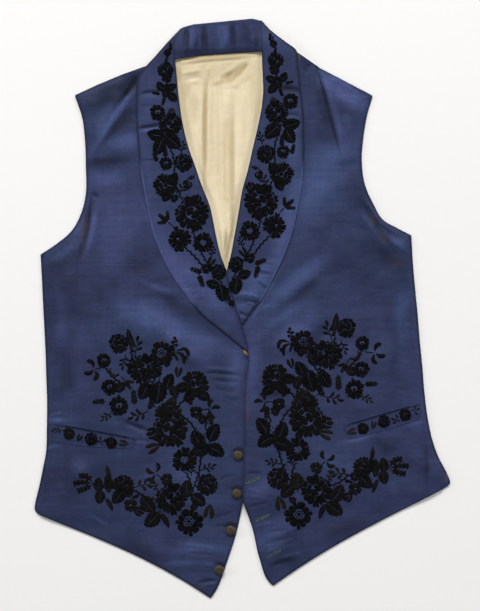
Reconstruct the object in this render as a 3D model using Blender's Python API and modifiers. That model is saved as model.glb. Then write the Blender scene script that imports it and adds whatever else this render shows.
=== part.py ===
"""Silk waistcoat with an embroidered shawl collar, laid flat on its back with its fronts meeting.

World units are metres, and the table is z = 0. +X runs to the wearer's left front and +Y to the neck.
Every size below is in millimetres and is measured from the middle of the garment.
The cloth lies in layers, from the table up: back, back lining, fronts, collar, welts and buttons.
"""

import math
from collections import namedtuple

import bmesh
import bpy
from mathutils import Vector

MM = 0.001
NAME = "embroidered_waistcoat"

# Thickness of each piece, with its own lining and interlining.
BACK_THICK = 1.2
LINING_THICK = 1.0
FRONT_THICK = 2.0
COLLAR_THICK = 1.6
BAND_THICK = 2.0
WELT_THICK = 1.4
SEAM_GAP = 0.3
LAYER_GAP = 0.4

# Height of the underside of each layer, where it lies flat.
LINING_REST = BACK_THICK + SEAM_GAP
FRONT_REST = LINING_REST + LINING_THICK + SEAM_GAP
BAND_REST = FRONT_REST
COLLAR_REST = FRONT_REST + FRONT_THICK + LAYER_GAP

# The front turns down round the edge of the back, which is cut this much smaller.
BACK_INSET = 6.6
ROLL_WIDTH = 5.4
ROLL_HEIGHT = 1.6
ROLL_FLAT = 0.5
ROLL_FULL = 20.0
ROLL_COLUMN = ROLL_WIDTH + 0.2
ROLL_LEAST_SLANT = 0.4

# Below the hem of the back the fronts come down to the table.
HEM_FALL_START = 6.0
HEM_FALL = 26.0
# Above the neck seam the collar comes down to the table.
NECK_FALL_START = 1.0
NECK_FALL = 32.0

# The neck band lies lower than the collar over this half width and depth, and rises to it beside.
BAND_FLAT = 24.0
BAND_DEPTH = 12.0
BAND_RISE = 20.0

# The collar's edge stands this much past the front's edge.
COLLAR_PROUD = 0.8
LINING_UNDER_COLLAR = 14.0
LINING_PAST_POINT = 10.0
# The lining's puckers stay this far inside the V and below the neck seam, and grow over the fade.
PUCKER_CLEAR = 2.0
PUCKER_FADE = 8.0
PUCKER_NECK_CLEAR = 16.0

BUTTON_RADIUS = 6.1
BUTTON_HEIGHT = 4.0
BUTTON_SIDES = 16
BUTTON_SEAT = 0.3

# A section runs across a piece, from its inner edge to its outer edge. turn names an edge that has
# a corner there.
Section = namedtuple("Section", "inner_x inner_y outer_x outer_y turn", defaults=("",))
Place = namedtuple("Place", "x y")
# A fold is a long soft ridge between two places.
Fold = namedtuple("Fold", "x0 y0 x1 y1 height half_width")
Lift = namedtuple("Lift", "y height")

# The wearer's right front, on -X, from the shoulder down to the hem and the point.
FRONT_RIGHT = [
    Section(-81.0, 296.5, -200.0, 255.0),
    Section(-78.5, 269.0, -191.5, 229.0),
    Section(-74.5, 235.0, -188.0, 201.0),
    Section(-68.5, 204.0, -187.0, 170.5),
    Section(-58.5, 173.0, -188.0, 135.5),
    Section(-49.5, 147.0, -194.0, 112.0),
    Section(-42.5, 129.5, -204.5, 93.0),
    Section(-38.0, 113.0, -223.0, 77.0),
    Section(-34.0, 94.5, -241.5, 64.0, "outer"),
    Section(-28.0, 67.0, -240.5, 36.0),
    Section(-19.0, 42.0, -239.0, 6.0),
    Section(-8.0, 9.5, -237.5, -26.5),
    Section(3.0, -23.0, -236.0, -53.0),
    Section(9.5, -53.0, -235.0, -81.5),
    Section(11.5, -92.5, -234.0, -113.0),
    Section(11.0, -134.5, -234.5, -144.0),
    Section(8.5, -173.0, -236.0, -174.5),
    Section(4.5, -205.0, -240.0, -194.5),
    Section(0.0, -232.0, -243.5, -212.0),
    Section(-6.0, -264.0, -246.5, -227.5),
    Section(-17.0, -299.0, -248.5, -237.0),
    Section(-30.5, -336.5, -248.5, -243.0),
    Section(-38.5, -347.0, -245.5, -248.0),
]
# The wearer's left front, on +X, which laps over the right.
FRONT_LEFT = [
    Section(24.0, 306.5, 155.0, 254.5),
    Section(25.0, 275.0, 149.0, 234.0),
    Section(24.5, 246.0, 144.0, 205.5),
    Section(19.0, 217.0, 142.0, 177.5),
    Section(12.5, 189.5, 144.5, 147.0),
    Section(5.5, 158.5, 154.0, 123.5),
    Section(0.5, 141.5, 168.0, 105.0),
    Section(-2.5, 125.0, 184.0, 95.5),
    Section(-4.0, 115.0, 201.5, 86.5, "outer"),
    Section(-9.0, 86.5, 204.0, 56.0),
    Section(-19.0, 42.0, 207.0, 24.0, "inner"),
    Section(-12.5, 17.5, 210.0, -7.0),
    Section(-5.0, -7.0, 212.5, -38.0),
    Section(2.0, -31.5, 216.0, -72.0),
    Section(7.0, -51.5, 218.5, -102.0),
    Section(3.5, -98.5, 222.0, -131.0),
    Section(3.0, -140.5, 228.0, -158.5),
    Section(2.0, -186.0, 236.0, -180.0),
    Section(0.0, -231.0, 245.0, -198.0, "inner"),
    Section(11.5, -263.0, 248.0, -206.5),
    Section(21.5, -299.5, 249.0, -211.0),
    Section(31.0, -328.0, 246.0, -215.0),
    Section(38.5, -332.5, 241.0, -218.0),
]
# Each half of the collar, from its seam with the neck band down to its point. The first rows follow
# that seam on the inner side.
COLLAR_SEAM_ROWS = 4
# The band's lower edge slants: it meets the left half higher up, at this row.
BAND_LAST_LEFT = 3.1
COLLAR_RIGHT = [
    Section(-70.5, 336.0, -72.5, 336.5),
    Section(-75.5, 329.5, -84.0, 325.0),
    Section(-80.5, 320.5, -93.0, 316.0),
    Section(-82.0, 309.5, -105.0, 302.5),
    Section(-81.5, 298.5, -116.5, 289.0),
    Section(-79.5, 276.0, -124.5, 275.5),
    Section(-77.5, 255.5, -126.5, 253.0),
    Section(-72.5, 221.5, -126.5, 219.5),
    Section(-64.5, 189.5, -124.0, 187.0),
    Section(-58.5, 173.0, -120.0, 156.0),
    Section(-49.5, 147.0, -114.0, 122.5),
    Section(-40.0, 122.5, -107.0, 91.0),
    Section(-34.0, 94.5, -96.0, 62.5),
    Section(-28.0, 67.0, -83.0, 38.0),
    Section(-19.0, 42.0, -67.0, 15.5),
    Section(-8.0, 9.5, -47.5, -8.5),
    Section(1.0, -17.5, -24.5, -27.0),
    Section(8.0, -43.0, -3.0, -45.0),
    Section(9.0, -52.0, 6.0, -52.0),
]
COLLAR_LEFT = [
    Section(21.0, 343.0, 22.5, 343.0),
    Section(21.5, 332.5, 33.5, 334.0),
    Section(22.5, 321.5, 45.0, 325.0),
    Section(23.5, 309.0, 55.0, 317.5),
    Section(24.0, 297.5, 63.0, 309.5),
    Section(25.0, 276.5, 66.0, 290.5),
    Section(25.5, 261.5, 69.0, 264.0),
    Section(24.0, 243.5, 72.0, 237.5),
    Section(19.0, 217.0, 73.0, 210.0),
    Section(12.5, 189.5, 73.0, 177.5),
    Section(7.0, 165.0, 70.5, 146.5),
    Section(0.5, 141.5, 66.0, 120.5),
    Section(-4.0, 115.0, 59.0, 90.0),
    Section(-9.0, 86.5, 49.0, 62.5),
    Section(-13.5, 62.5, 36.0, 35.0),
    Section(-19.0, 42.0, 21.5, 9.0, "inner"),
    Section(-11.0, 13.0, 14.0, 0.0),
    Section(-5.0, -7.0, 4.0, -13.0),
    Section(-1.0, -18.5, 0.5, -19.0),
]
# Where the lining starts and where the V has its point, as rows of each collar table.
LINING_TOP_RIGHT = 4.0
LINING_TOP_LEFT = 3.0
V_POINT_RIGHT = 14
V_POINT_LEFT = 15

# Shoulder seams, from the neck out to the tip.
SHOULDER_RIGHT = [
    Place(-81.0, 296.5),
    Place(-99.0, 293.5),
    Place(-116.5, 289.0),
    Place(-146.0, 280.0),
    Place(-174.0, 269.0),
    Place(-200.0, 255.0),
]
SHOULDER_LEFT = [
    Place(24.0, 306.5),
    Place(42.5, 310.0),
    Place(61.0, 308.5),
    Place(71.5, 301.5),
    Place(93.0, 288.0),
    Place(114.0, 276.0),
    Place(155.0, 254.5),
]
# The seam that joins the collar to the back, run on along the shoulders.
NECK_SEAM = [
    Place(-159.0, 276.0),
    Place(-116.5, 291.0),
    Place(-99.0, 298.0),
    Place(-81.5, 307.0),
    Place(-29.5, 313.5),
    Place(23.5, 317.0),
    Place(45.0, 316.0),
    Place(60.5, 311.5),
    Place(82.0, 297.5),
    Place(123.0, 271.0),
]
# The top edge of the back, from the right shoulder tip round the neck to the left.
BACK_TOP = [
    Place(-193.0, 251.5),
    Place(-172.0, 262.0),
    Place(-144.5, 273.5),
    Place(-116.0, 284.0),
    Place(-99.0, 291.0),
    Place(-81.0, 301.0),
    Place(-29.5, 309.0),
    Place(23.5, 312.5),
    Place(45.0, 311.5),
    Place(59.5, 305.5),
    Place(75.0, 293.0),
    Place(93.0, 281.5),
    Place(114.5, 269.5),
    Place(148.0, 250.5),
]
LINING_TOP = [
    Place(-95.5, 294.0),
    Place(-29.5, 308.0),
    Place(38.0, 307.0),
]
BAND_TOP = [
    Place(-70.5, 337.0),
    Place(-59.0, 341.0),
    Place(-27.0, 344.0),
    Place(11.5, 347.5),
    Place(21.0, 344.5),
]
BAND_BOTTOM = [
    Place(-81.5, 298.5),
    Place(-51.5, 303.0),
    Place(-27.0, 305.0),
    Place(24.0, 308.0),
]

# The hems are hollowed between the side and the point: the depth of the hollow, and how far along.
HEM_HOLLOW_RIGHT = 7.4
HEM_HOLLOW_LEFT = 5.6
HEM_HOLLOW_SKEW = 0.78

# Rows of the front tables: the armpit, the last that the back reaches, and how many rows it takes
# for the curve of the shoulder, the hollow of the hem and the set-back of the edge to fade away.
ARMPIT_ROW = 8
BACK_LAST_ROW = 20
SHOULDER_FADE_ROWS = 4.0
HEM_FADE_ROWS = 3.0
SET_BACK_ROWS = 12.0
LINING_TOP_FADE = 0.2

# How far the left front is raised by the right front and its collar, down the overlap.
OVERLAP_LIFT = [
    Lift(150.0, 0.0),
    Lift(55.0, 4.6),
    Lift(-57.0, 4.6),
    Lift(-122.0, 2.5),
    Lift(-212.0, 2.5),
    Lift(-302.0, 0.0),
]
LIFT_SHELF = 2.0
LIFT_FADE = 75.0

FOLDS_RIGHT = [
    Fold(-150.0, 250.0, -164.0, 172.0, 1.5, 15.0),
    Fold(-166.0, 120.0, -120.0, 40.0, 1.3, 18.0),
    Fold(-205.0, 30.0, -150.0, -60.0, 1.4, 20.0),
    Fold(-140.0, -20.0, -45.0, -62.0, 1.3, 17.0),
    Fold(-185.0, -190.0, -212.0, -222.0, 1.0, 16.0),
    Fold(-95.0, -235.0, -60.0, -300.0, 1.2, 18.0),
]
FOLDS_LEFT = [
    Fold(97.0, 262.0, 122.0, 182.0, 1.5, 15.0),
    Fold(126.0, 150.0, 168.0, 78.0, 1.3, 17.0),
    Fold(95.0, 92.0, 172.0, 20.0, 1.4, 20.0),
    Fold(60.0, -30.0, 150.0, -66.0, 1.2, 18.0),
    Fold(185.0, -160.0, 214.0, -188.0, 1.0, 15.0),
    Fold(70.0, -225.0, 45.0, -290.0, 1.2, 18.0),
]
FOLDS_LINING = [
    Fold(-41.0, 285.0, -43.0, 125.0, 1.2, 8.0),
    Fold(-13.0, 255.0, -13.0, 90.0, 1.3, 9.0),
    Fold(-30.0, 270.0, -27.0, 200.0, 0.7, 7.0),
]

# A welt, by the corners of its upper and lower edges, and how far its lower edge sags.
Welt = namedtuple("Welt", "upper_inner upper_outer lower_inner lower_outer sag")
WELT_RIGHT = Welt(
    upper_inner=Place(-129.0, -157.5),
    upper_outer=Place(-226.0, -140.0),
    lower_inner=Place(-131.0, -166.5),
    lower_outer=Place(-226.0, -159.0),
    sag=3.0,
)
WELT_LEFT = Welt(
    upper_inner=Place(122.5, -142.0),
    upper_outer=Place(212.0, -116.0),
    lower_inner=Place(128.0, -156.5),
    lower_outer=Place(212.0, -133.0),
    sag=1.0,
)

BUTTONS = [
    Place(-5.2, -176.5),
    Place(-7.0, -222.0),
    Place(-14.0, -266.5),
    Place(-28.0, -314.0),
]

# Columns and rows of each grid.
FRONT_COLUMNS = 14
FRONT_STEPS = 2
BACK_COLUMNS = 13
COLLAR_COLUMNS = 4
LINING_COLUMNS = 16
LINING_ROWS = 20
BAND_COLUMNS = 12
BAND_ROWS = 5
WELT_COLUMNS = 9
WELT_ROWS = 2

# The bounding box of the whole is centred on the origin by this move.
CENTRE_X = -0.09
CENTRE_Y = 0.6

NAVY_SILK = (0.040, 0.050, 0.145, 1.0)
NAVY_BAND = (0.028, 0.034, 0.110, 1.0)
CREAM_COTTON = (0.78, 0.70, 0.50, 1.0)
TAN_COTTON = (0.46, 0.34, 0.19, 1.0)
OLIVE_CLOTH = (0.060, 0.045, 0.022, 1.0)
SILK_ROUGHNESS = 0.45
COTTON_ROUGHNESS = 0.85


# ---------------------------------------------------------------- lines and curves


def smooth(value):
    """A soft step from 0 to 1."""
    value = min(max(value, 0.0), 1.0)
    return value * value * (3.0 - 2.0 * value)


def mix(first, second, share):
    return first + (second - first) * share


def arch(share):
    """A curve that rises from 0 at either end to 1 in the middle."""
    return 4.0 * share * (1.0 - share)


def spline(points, corners, at):
    """The point at row number `at` of a smooth curve through the points, with corners kept."""
    last = len(points) - 1
    start = min(int(at), last - 1)
    share = at - start
    before = points[start] if start == 0 or start in corners else points[start - 1]
    after = points[start + 1] if start + 1 == last or start + 1 in corners else points[start + 2]
    first, second = points[start], points[start + 1]
    span = (second - first).length
    out_slope = tangent(before, first, second) * span
    in_slope = tangent(first, second, after) * span
    square, cube = share * share, share**3
    return (
        first * (2 * cube - 3 * square + 1)
        + out_slope * (cube - 2 * square + share)
        + second * (3 * square - 2 * cube)
        + in_slope * (cube - square)
    )


def tangent(before, here, after):
    """Unit direction of the curve at a point, leaning to its nearer neighbour."""
    back, ahead = here - before, after - here
    if back.length == 0.0:
        return ahead.normalized()
    if ahead.length == 0.0:
        return back.normalized()
    return (back.normalized() / back.length + ahead.normalized() / ahead.length).normalized()


def inner_edge(table, at):
    points = [Vector((row.inner_x, row.inner_y)) for row in table]
    corners = [number for number, row in enumerate(table) if row.turn == "inner"]
    return spline(points, corners, at)


def outer_edge(table, at):
    points = [Vector((row.outer_x, row.outer_y)) for row in table]
    corners = [number for number, row in enumerate(table) if row.turn == "outer"]
    return spline(points, corners, at)


def along(places, share):
    """The point at this share of the length of a line of places."""
    points = [Vector(place) for place in places]
    lengths = [(b - a).length for a, b in zip(points, points[1:])]
    wanted = share * sum(lengths)
    for (start, end), length in zip(zip(points, points[1:]), lengths):
        if wanted <= length:
            return start.lerp(end, wanted / length)
        wanted -= length
    return points[-1]


def bow(places, share):
    """How far a line of places stands off its own chord."""
    return along(places, share) - Vector(places[0]).lerp(Vector(places[-1]), share)


def nearest(places, point):
    """Distance from a point to a line of places, and on which side it lies: above is positive."""
    best, side = math.inf, 1.0
    for start, end in zip(places, places[1:]):
        start, end = Vector(start), Vector(end)
        run = end - start
        share = min(max((point - start).dot(run) / run.length_squared, 0.0), 1.0)
        distance = (point - start - run * share).length
        if distance < best:
            best = distance
            side = math.copysign(1.0, run.x * (point.y - start.y) - run.y * (point.x - start.x))
    return best, side


def inset(points, distance):
    """The line of points moved sideways by a distance, to the right of its direction."""
    moved = []
    for number, point in enumerate(points):
        before = points[max(number - 1, 0)]
        after = points[min(number + 1, len(points) - 1)]
        back = (point - before) if number else (after - point)
        ahead = (after - point) if number < len(points) - 1 else back
        normal = Vector((back.y, -back.x)).normalized() + Vector((ahead.y, -ahead.x)).normalized()
        normal.normalize()
        half_turn = normal.dot(Vector((back.y, -back.x)).normalized())
        moved.append(point + normal * (distance / half_turn))
    return moved


# ---------------------------------------------------------------- how high each layer lies


def outline(table, shoulder):
    """The shoulder and outer edge of a front, where it turns down to the table."""
    rows = len(table) - 1
    seam = [Vector(place) for place in shoulder[-3:]]
    edge = [outer_edge(table, number / 2) for number in range(1, 2 * rows + 1)]
    return seam + edge


OUTLINE_RIGHT = outline(FRONT_RIGHT, SHOULDER_RIGHT)
OUTLINE_LEFT = outline(FRONT_LEFT, SHOULDER_LEFT)
BACK_HEM = [
    Place(*outer_edge(FRONT_RIGHT, BACK_LAST_ROW)),
    Place(*outer_edge(FRONT_LEFT, BACK_LAST_ROW)),
]


def fold_height(folds, point):
    """The height of the soft ridges at a point."""
    height = 0.0
    for fold in folds:
        start, end = Vector((fold.x0, fold.y0)), Vector((fold.x1, fold.y1))
        run = end - start
        share = (point - start).dot(run) / run.length_squared
        inside = min(max(share, 0.0), 1.0)
        distance = (point - start - run * inside).length / fold.half_width
        height += fold.height * smooth(1.0 - distance)
    return height


def front_rest(edge, point):
    """Height of a front's underside over the back: down at the edges and below the back's hem."""
    inward = nearest(edge, point)[0]
    roll = ROLL_HEIGHT * smooth((inward - ROLL_FLAT) / (ROLL_WIDTH - ROLL_FLAT))
    roll += (FRONT_REST - ROLL_HEIGHT) * smooth((inward - ROLL_WIDTH) / (ROLL_FULL - ROLL_WIDTH))
    distance, side = nearest(BACK_HEM, point)
    return roll * (1.0 - smooth((-side * distance - HEM_FALL_START) / HEM_FALL))


def overlap_lift(point):
    """How far the left front is raised where it laps over the right."""
    height = 0.0
    for upper, lower in zip(OVERLAP_LIFT, OVERLAP_LIFT[1:]):
        if lower.y <= point.y <= upper.y:
            height = mix(upper.height, lower.height, smooth((upper.y - point.y) / (upper.y - lower.y)))
    past = point.x - under_edge(point.y) - LIFT_SHELF
    return height * (1.0 - smooth(past / LIFT_FADE))


def under_edge(height_up):
    """Where the right front's own edge lies, at this height up the garment."""
    for upper, lower in zip(FRONT_RIGHT, FRONT_RIGHT[1:]):
        if lower.inner_y <= height_up <= upper.inner_y:
            share = (upper.inner_y - height_up) / (upper.inner_y - lower.inner_y)
            return mix(upper.inner_x, lower.inner_x, share)
    return FRONT_RIGHT[0].inner_x if height_up > 0.0 else FRONT_RIGHT[-1].inner_x


def front_right_height(point):
    return front_rest(OUTLINE_RIGHT, point) + fold_height(FOLDS_RIGHT, point)


def front_left_height(point):
    return front_rest(OUTLINE_LEFT, point) + fold_height(FOLDS_LEFT, point) + overlap_lift(point)


def collar_bed(point):
    """Height of the collar's underside: on the fronts, lower at the back neck, and down above it."""
    middle = 0.5 * (BAND_TOP[0].x + BAND_TOP[-1].x)
    distance, side = nearest(NECK_SEAM, point)
    fall = 1.0 - smooth((side * distance - NECK_FALL_START) / NECK_FALL)
    at_band = 1.0 - smooth((abs(point.x - middle) - BAND_FLAT) / BAND_RISE)
    at_band *= 1.0 - smooth((-side * distance - BAND_DEPTH) / BAND_RISE)
    return mix(COLLAR_REST, BAND_REST, at_band) * fall


def collar_right_height(point):
    return collar_bed(point)


def collar_left_height(point):
    return collar_bed(point) + overlap_lift(point)


def lining_height(point):
    """The lining lies flat under the fronts and puckers softly where it shows."""
    left, right = under_edge(point.y), over_edge(point.y)
    clear = smooth((min(point.x - left, right - point.x) - PUCKER_CLEAR) / PUCKER_FADE)
    below_neck = smooth((nearest(NECK_SEAM, point)[0] - PUCKER_NECK_CLEAR) / PUCKER_FADE)
    return LINING_REST + fold_height(FOLDS_LINING, point) * clear * below_neck


def over_edge(height_up):
    """Where the left front's edge lies down the V."""
    for upper, lower in zip(FRONT_LEFT, FRONT_LEFT[1:]):
        if lower.inner_y <= height_up <= upper.inner_y:
            share = (upper.inner_y - height_up) / (upper.inner_y - lower.inner_y)
            return mix(upper.inner_x, lower.inner_x, share)
    return FRONT_LEFT[0].inner_x


# ---------------------------------------------------------------- pieces


def material(name, colour, roughness):
    made = bpy.data.materials.new(name)
    made.use_nodes = True
    shader = made.node_tree.nodes["Principled BSDF"]
    shader.inputs["Base Color"].default_value = colour
    shader.inputs["Roughness"].default_value = roughness
    shader.inputs["Metallic"].default_value = 0.0
    return made


def add_piece(name, mesh, finish, collection):
    piece = bpy.data.objects.new(name, mesh)
    collection.objects.link(piece)
    piece.location = (CENTRE_X * MM, CENTRE_Y * MM, 0.0)
    mesh.materials.append(finish)
    return piece


def cloth(name, columns, rows, surface, thick, finish, collection):
    """A wall of cloth. columns and rows are the stops of its grid, and surface gives (x, y, z)."""
    grid = bmesh.new()
    bmesh.ops.create_grid(grid, x_segments=len(columns) - 1, y_segments=len(rows) - 1, size=0.5)
    for vertex in grid.verts:
        column = columns[round((vertex.co.x + 0.5) * (len(columns) - 1))]
        row = rows[round((0.5 - vertex.co.y) * (len(rows) - 1))]
        vertex.co = Vector(surface(column, row)) * MM
    bmesh.ops.triangulate(grid, faces=grid.faces[:])
    grid.normal_update()
    if sum(face.normal.z for face in grid.faces) < 0.0:
        bmesh.ops.reverse_faces(grid, faces=grid.faces[:])
    mesh = bpy.data.meshes.new(name)
    grid.to_mesh(mesh)
    grid.free()
    mesh.shade_smooth()
    piece = add_piece(name, mesh, finish, collection)
    wall = piece.modifiers.new("wall", "SOLIDIFY")
    wall.thickness = thick * MM
    wall.offset = 1.0
    wall.use_even_offset = True
    return piece


def even(count):
    return [number / count for number in range(count + 1)]


def raised(point, height):
    return point.x, point.y, height(point)


def roll_column(table, row, across):
    """Share of a row that the turned-down edge takes: more where the edge runs along the row."""
    step = 0.25
    run = outer_edge(table, min(row + step, len(table) - 1)) - outer_edge(table, max(row - step, 0.0))
    slant = abs(run.normalized().cross(across.normalized()))
    return ROLL_COLUMN / max(slant, ROLL_LEAST_SLANT) / across.length


def front(name, table, shoulder, hollow, height, finish, collection):
    """One front, from shoulder to hem. Its own edge is set back under the collar's."""
    rows = len(table) - 1
    first_run = (outer_edge(table, 1) - outer_edge(table, 0)).length
    stops = [number / FRONT_STEPS for number in range(FRONT_STEPS * rows + 1)]
    stops.insert(1, ROLL_COLUMN / first_run)
    outward = math.copysign(COLLAR_PROUD, table[0].outer_x)

    def surface(column, row):
        outer = outer_edge(table, row)
        inner = inner_edge(table, row)
        inner.x += outward * (1.0 - smooth(row - SET_BACK_ROWS))
        share = 1.0
        if column <= 1.0:
            share = column * (1.0 - roll_column(table, row, inner - outer))
        point = inner.lerp(outer, share)
        point += bow(shoulder, share) * max(1.0 - row / SHOULDER_FADE_ROWS, 0.0)
        # The hem runs from the point, share 0, to the side, share 1.
        crown = (1.0 - share) ** HEM_HOLLOW_SKEW
        near_hem = smooth((row - rows + HEM_FADE_ROWS) / HEM_FADE_ROWS)
        point.y += hollow * near_hem * arch(crown)
        return raised(point, height)

    return cloth(name, even(FRONT_COLUMNS) + [2.0], stops, surface, FRONT_THICK, finish, collection)


def back_panel(finish, collection):
    """The back, flat on the table, a little smaller all round than the fronts."""
    # The corner under the arm is cut off, so no row lies at the armpit itself.
    stops = [number / 2 for number in range(2 * ARMPIT_ROW)]
    stops += [ARMPIT_ROW + 0.5] + [number + 1.0 for number in range(ARMPIT_ROW, BACK_LAST_ROW)]
    right = inset([outer_edge(FRONT_RIGHT, row) for row in stops], -BACK_INSET)
    left = inset([outer_edge(FRONT_LEFT, row) for row in stops], BACK_INSET)
    right[0], left[0] = Vector(BACK_TOP[0]), Vector(BACK_TOP[-1])

    def surface(column, row):
        number = stops.index(row)
        point = right[number].lerp(left[number], column)
        point += bow(BACK_TOP, column) * max(1.0 - row / ARMPIT_ROW, 0.0)
        return point.x, point.y, 0.0

    return cloth("back_panel", even(BACK_COLUMNS), stops, surface, BACK_THICK, finish, collection)


def back_lining(finish, collection):
    """The lining of the back, where it shows in the V and just under the collar."""

    def surface(column, row):
        right = inner_edge(COLLAR_RIGHT, mix(LINING_TOP_RIGHT, V_POINT_RIGHT, row))
        left = inner_edge(COLLAR_LEFT, mix(LINING_TOP_LEFT, V_POINT_LEFT, row))
        right.x -= LINING_UNDER_COLLAR
        left.x += LINING_UNDER_COLLAR
        point = right.lerp(left, column)
        point += bow(LINING_TOP, column) * max(1.0 - row / LINING_TOP_FADE, 0.0)
        if row == 1.0:
            point.y -= LINING_PAST_POINT
        return raised(point, lining_height)

    rows = even(LINING_ROWS)
    return cloth("back_lining", even(LINING_COLUMNS), rows, surface, LINING_THICK, finish, collection)


def collar_half(name, table, height, finish, collection):
    """Half of the shawl collar, spread flat on the front, and past the shoulder beside the band."""
    rows = len(table) - 1
    stops = [number / 2 for number in range(2 * rows + 1)]
    outward = math.copysign(1.0, table[COLLAR_SEAM_ROWS].outer_x)

    def surface(column, row):
        inner, outer = inner_edge(table, row), outer_edge(table, row)
        if row <= COLLAR_SEAM_ROWS:
            inner.x += outward * SEAM_GAP / 2
        return raised(inner.lerp(outer, column), height)

    return cloth(name, even(COLLAR_COLUMNS), stops, surface, COLLAR_THICK, finish, collection)


def neck_band(finish, collection):
    """The plain band at the back of the neck, between the two halves of the collar."""

    def surface(column, row):
        right = inner_edge(COLLAR_RIGHT, mix(0.0, COLLAR_SEAM_ROWS, row))
        left = inner_edge(COLLAR_LEFT, mix(0.0, BAND_LAST_LEFT, row))
        right.x += SEAM_GAP / 2
        left.x -= SEAM_GAP / 2
        point = right.lerp(left, column)
        point += bow(BAND_TOP, column) * (1.0 - row)
        point += bow(BAND_BOTTOM, column) * row
        return raised(point, collar_bed)

    columns, rows = even(BAND_COLUMNS), even(BAND_ROWS)
    return cloth("collar_back", columns, rows, surface, BAND_THICK, finish, collection)


def welt(name, shape, height, finish, collection):
    """A pocket welt, moved out from the points of the front that it lies on."""

    def surface(column, row):
        upper = Vector(shape.upper_inner).lerp(Vector(shape.upper_outer), column)
        lower = Vector(shape.lower_inner).lerp(Vector(shape.lower_outer), column)
        lower.y -= shape.sag * arch(column)
        point = upper.lerp(lower, row)
        return point.x, point.y, height(point) + FRONT_THICK + LAYER_GAP

    columns, rows = even(WELT_COLUMNS), even(WELT_ROWS)
    return cloth(name, columns, rows, surface, WELT_THICK, finish, collection)


def button(name, place, finish, collection):
    """A covered button: a low dome turned about its own axis, seated on the right front."""
    # Share of the radius and of the height, from the crown down the outer side to the base.
    profile = [(0.0, 1.0), (0.45, 0.93), (0.8, 0.68), (1.0, 0.34), (0.94, 0.1), (0.6, 0.0), (0.0, 0.0)]
    mesh = bpy.data.meshes.new(name)
    points = [(r * BUTTON_RADIUS * MM, 0.0, h * BUTTON_HEIGHT * MM) for r, h in profile]
    mesh.from_pydata(points, [(n, n + 1) for n in range(len(points) - 1)], [])
    piece = add_piece(name, mesh, finish, collection)
    turned = piece.modifiers.new("turned", "SCREW")
    turned.steps = BUTTON_SIDES
    turned.render_steps = BUTTON_SIDES
    turned.use_merge_vertices = True
    turned.merge_threshold = 1e-5
    around = [
        Vector(place) + BUTTON_RADIUS * Vector((math.cos(turn), math.sin(turn)))
        for turn in [2.0 * math.pi * number / BUTTON_SIDES for number in range(BUTTON_SIDES)]
    ]
    seat = max(front_right_height(point) for point in around) + FRONT_THICK + BUTTON_SEAT
    piece.location = ((place.x + CENTRE_X) * MM, (place.y + CENTRE_Y) * MM, seat * MM)
    return piece


def build():
    for old in list(bpy.data.objects):
        bpy.data.objects.remove(old, do_unlink=True)
    collection = bpy.data.collections.new(NAME)
    bpy.context.scene.collection.children.link(collection)

    silk = material("navy_silk", NAVY_SILK, SILK_ROUGHNESS)
    band_silk = material("navy_band_silk", NAVY_BAND, SILK_ROUGHNESS)
    cream = material("cream_cotton", CREAM_COTTON, COTTON_ROUGHNESS)
    tan = material("tan_cotton", TAN_COTTON, COTTON_ROUGHNESS)
    olive = material("olive_button_cloth", OLIVE_CLOTH, COTTON_ROUGHNESS)

    back_panel(tan, collection)
    back_lining(cream, collection)
    front("front_right", FRONT_RIGHT, SHOULDER_RIGHT, HEM_HOLLOW_RIGHT, front_right_height, silk, collection)
    front("front_left", FRONT_LEFT, SHOULDER_LEFT, HEM_HOLLOW_LEFT, front_left_height, silk, collection)
    collar_half("collar_right", COLLAR_RIGHT, collar_right_height, silk, collection)
    collar_half("collar_left", COLLAR_LEFT, collar_left_height, silk, collection)
    neck_band(band_silk, collection)
    welt("welt_right", WELT_RIGHT, front_right_height, silk, collection)
    welt("welt_left", WELT_LEFT, front_left_height, silk, collection)
    for number, place in enumerate(BUTTONS, start=1):
        button(f"button_{number}", place, olive, collection)


build()
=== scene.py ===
"""Dressed scene of an embroidered silk waistcoat, laid flat on its back and seen from straight above.

Sizes in the tables are in millimetres, measured from the middle of the garment as in the CAD source.
Each shell of cloth has the form of the solid that it replaces, with an outline fitted up to 3 mm more
closely, and adds its creases, its rounded edges and its sewing. The flowers are cut pile, raised on
the silk.
"""

from collections import namedtuple

import bpy
import numpy as np
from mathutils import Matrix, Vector


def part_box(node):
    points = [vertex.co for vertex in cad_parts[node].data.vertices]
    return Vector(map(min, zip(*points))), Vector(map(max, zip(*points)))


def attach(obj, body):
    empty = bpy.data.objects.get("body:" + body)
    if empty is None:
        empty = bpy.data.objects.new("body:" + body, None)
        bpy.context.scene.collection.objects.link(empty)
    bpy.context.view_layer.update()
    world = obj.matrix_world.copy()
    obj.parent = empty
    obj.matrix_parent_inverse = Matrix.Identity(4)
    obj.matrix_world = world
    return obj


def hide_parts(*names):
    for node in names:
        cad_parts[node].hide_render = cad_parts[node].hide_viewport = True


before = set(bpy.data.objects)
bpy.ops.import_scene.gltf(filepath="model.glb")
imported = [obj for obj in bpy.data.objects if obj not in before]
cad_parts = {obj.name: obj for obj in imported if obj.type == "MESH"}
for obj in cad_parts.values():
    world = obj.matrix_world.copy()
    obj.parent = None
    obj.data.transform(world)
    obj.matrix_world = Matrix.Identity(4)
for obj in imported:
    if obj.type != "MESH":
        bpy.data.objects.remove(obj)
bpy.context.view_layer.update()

MM = 0.001
BODY = "root"
# The same move that centres the CAD source on the origin.
CENTRE = np.array((-0.09, 0.6))

Section = namedtuple("Section", "inner_x inner_y outer_x outer_y turn", defaults=("",))
Fold = namedtuple("Fold", "x0 y0 x1 y1 height half_width")
Lift = namedtuple("Lift", "y height")
# A welt, by the corners of its upper and lower edges, and how far its lower edge sags.
Welt = namedtuple("Welt", "upper_inner upper_outer lower_inner lower_outer sag")
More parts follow.
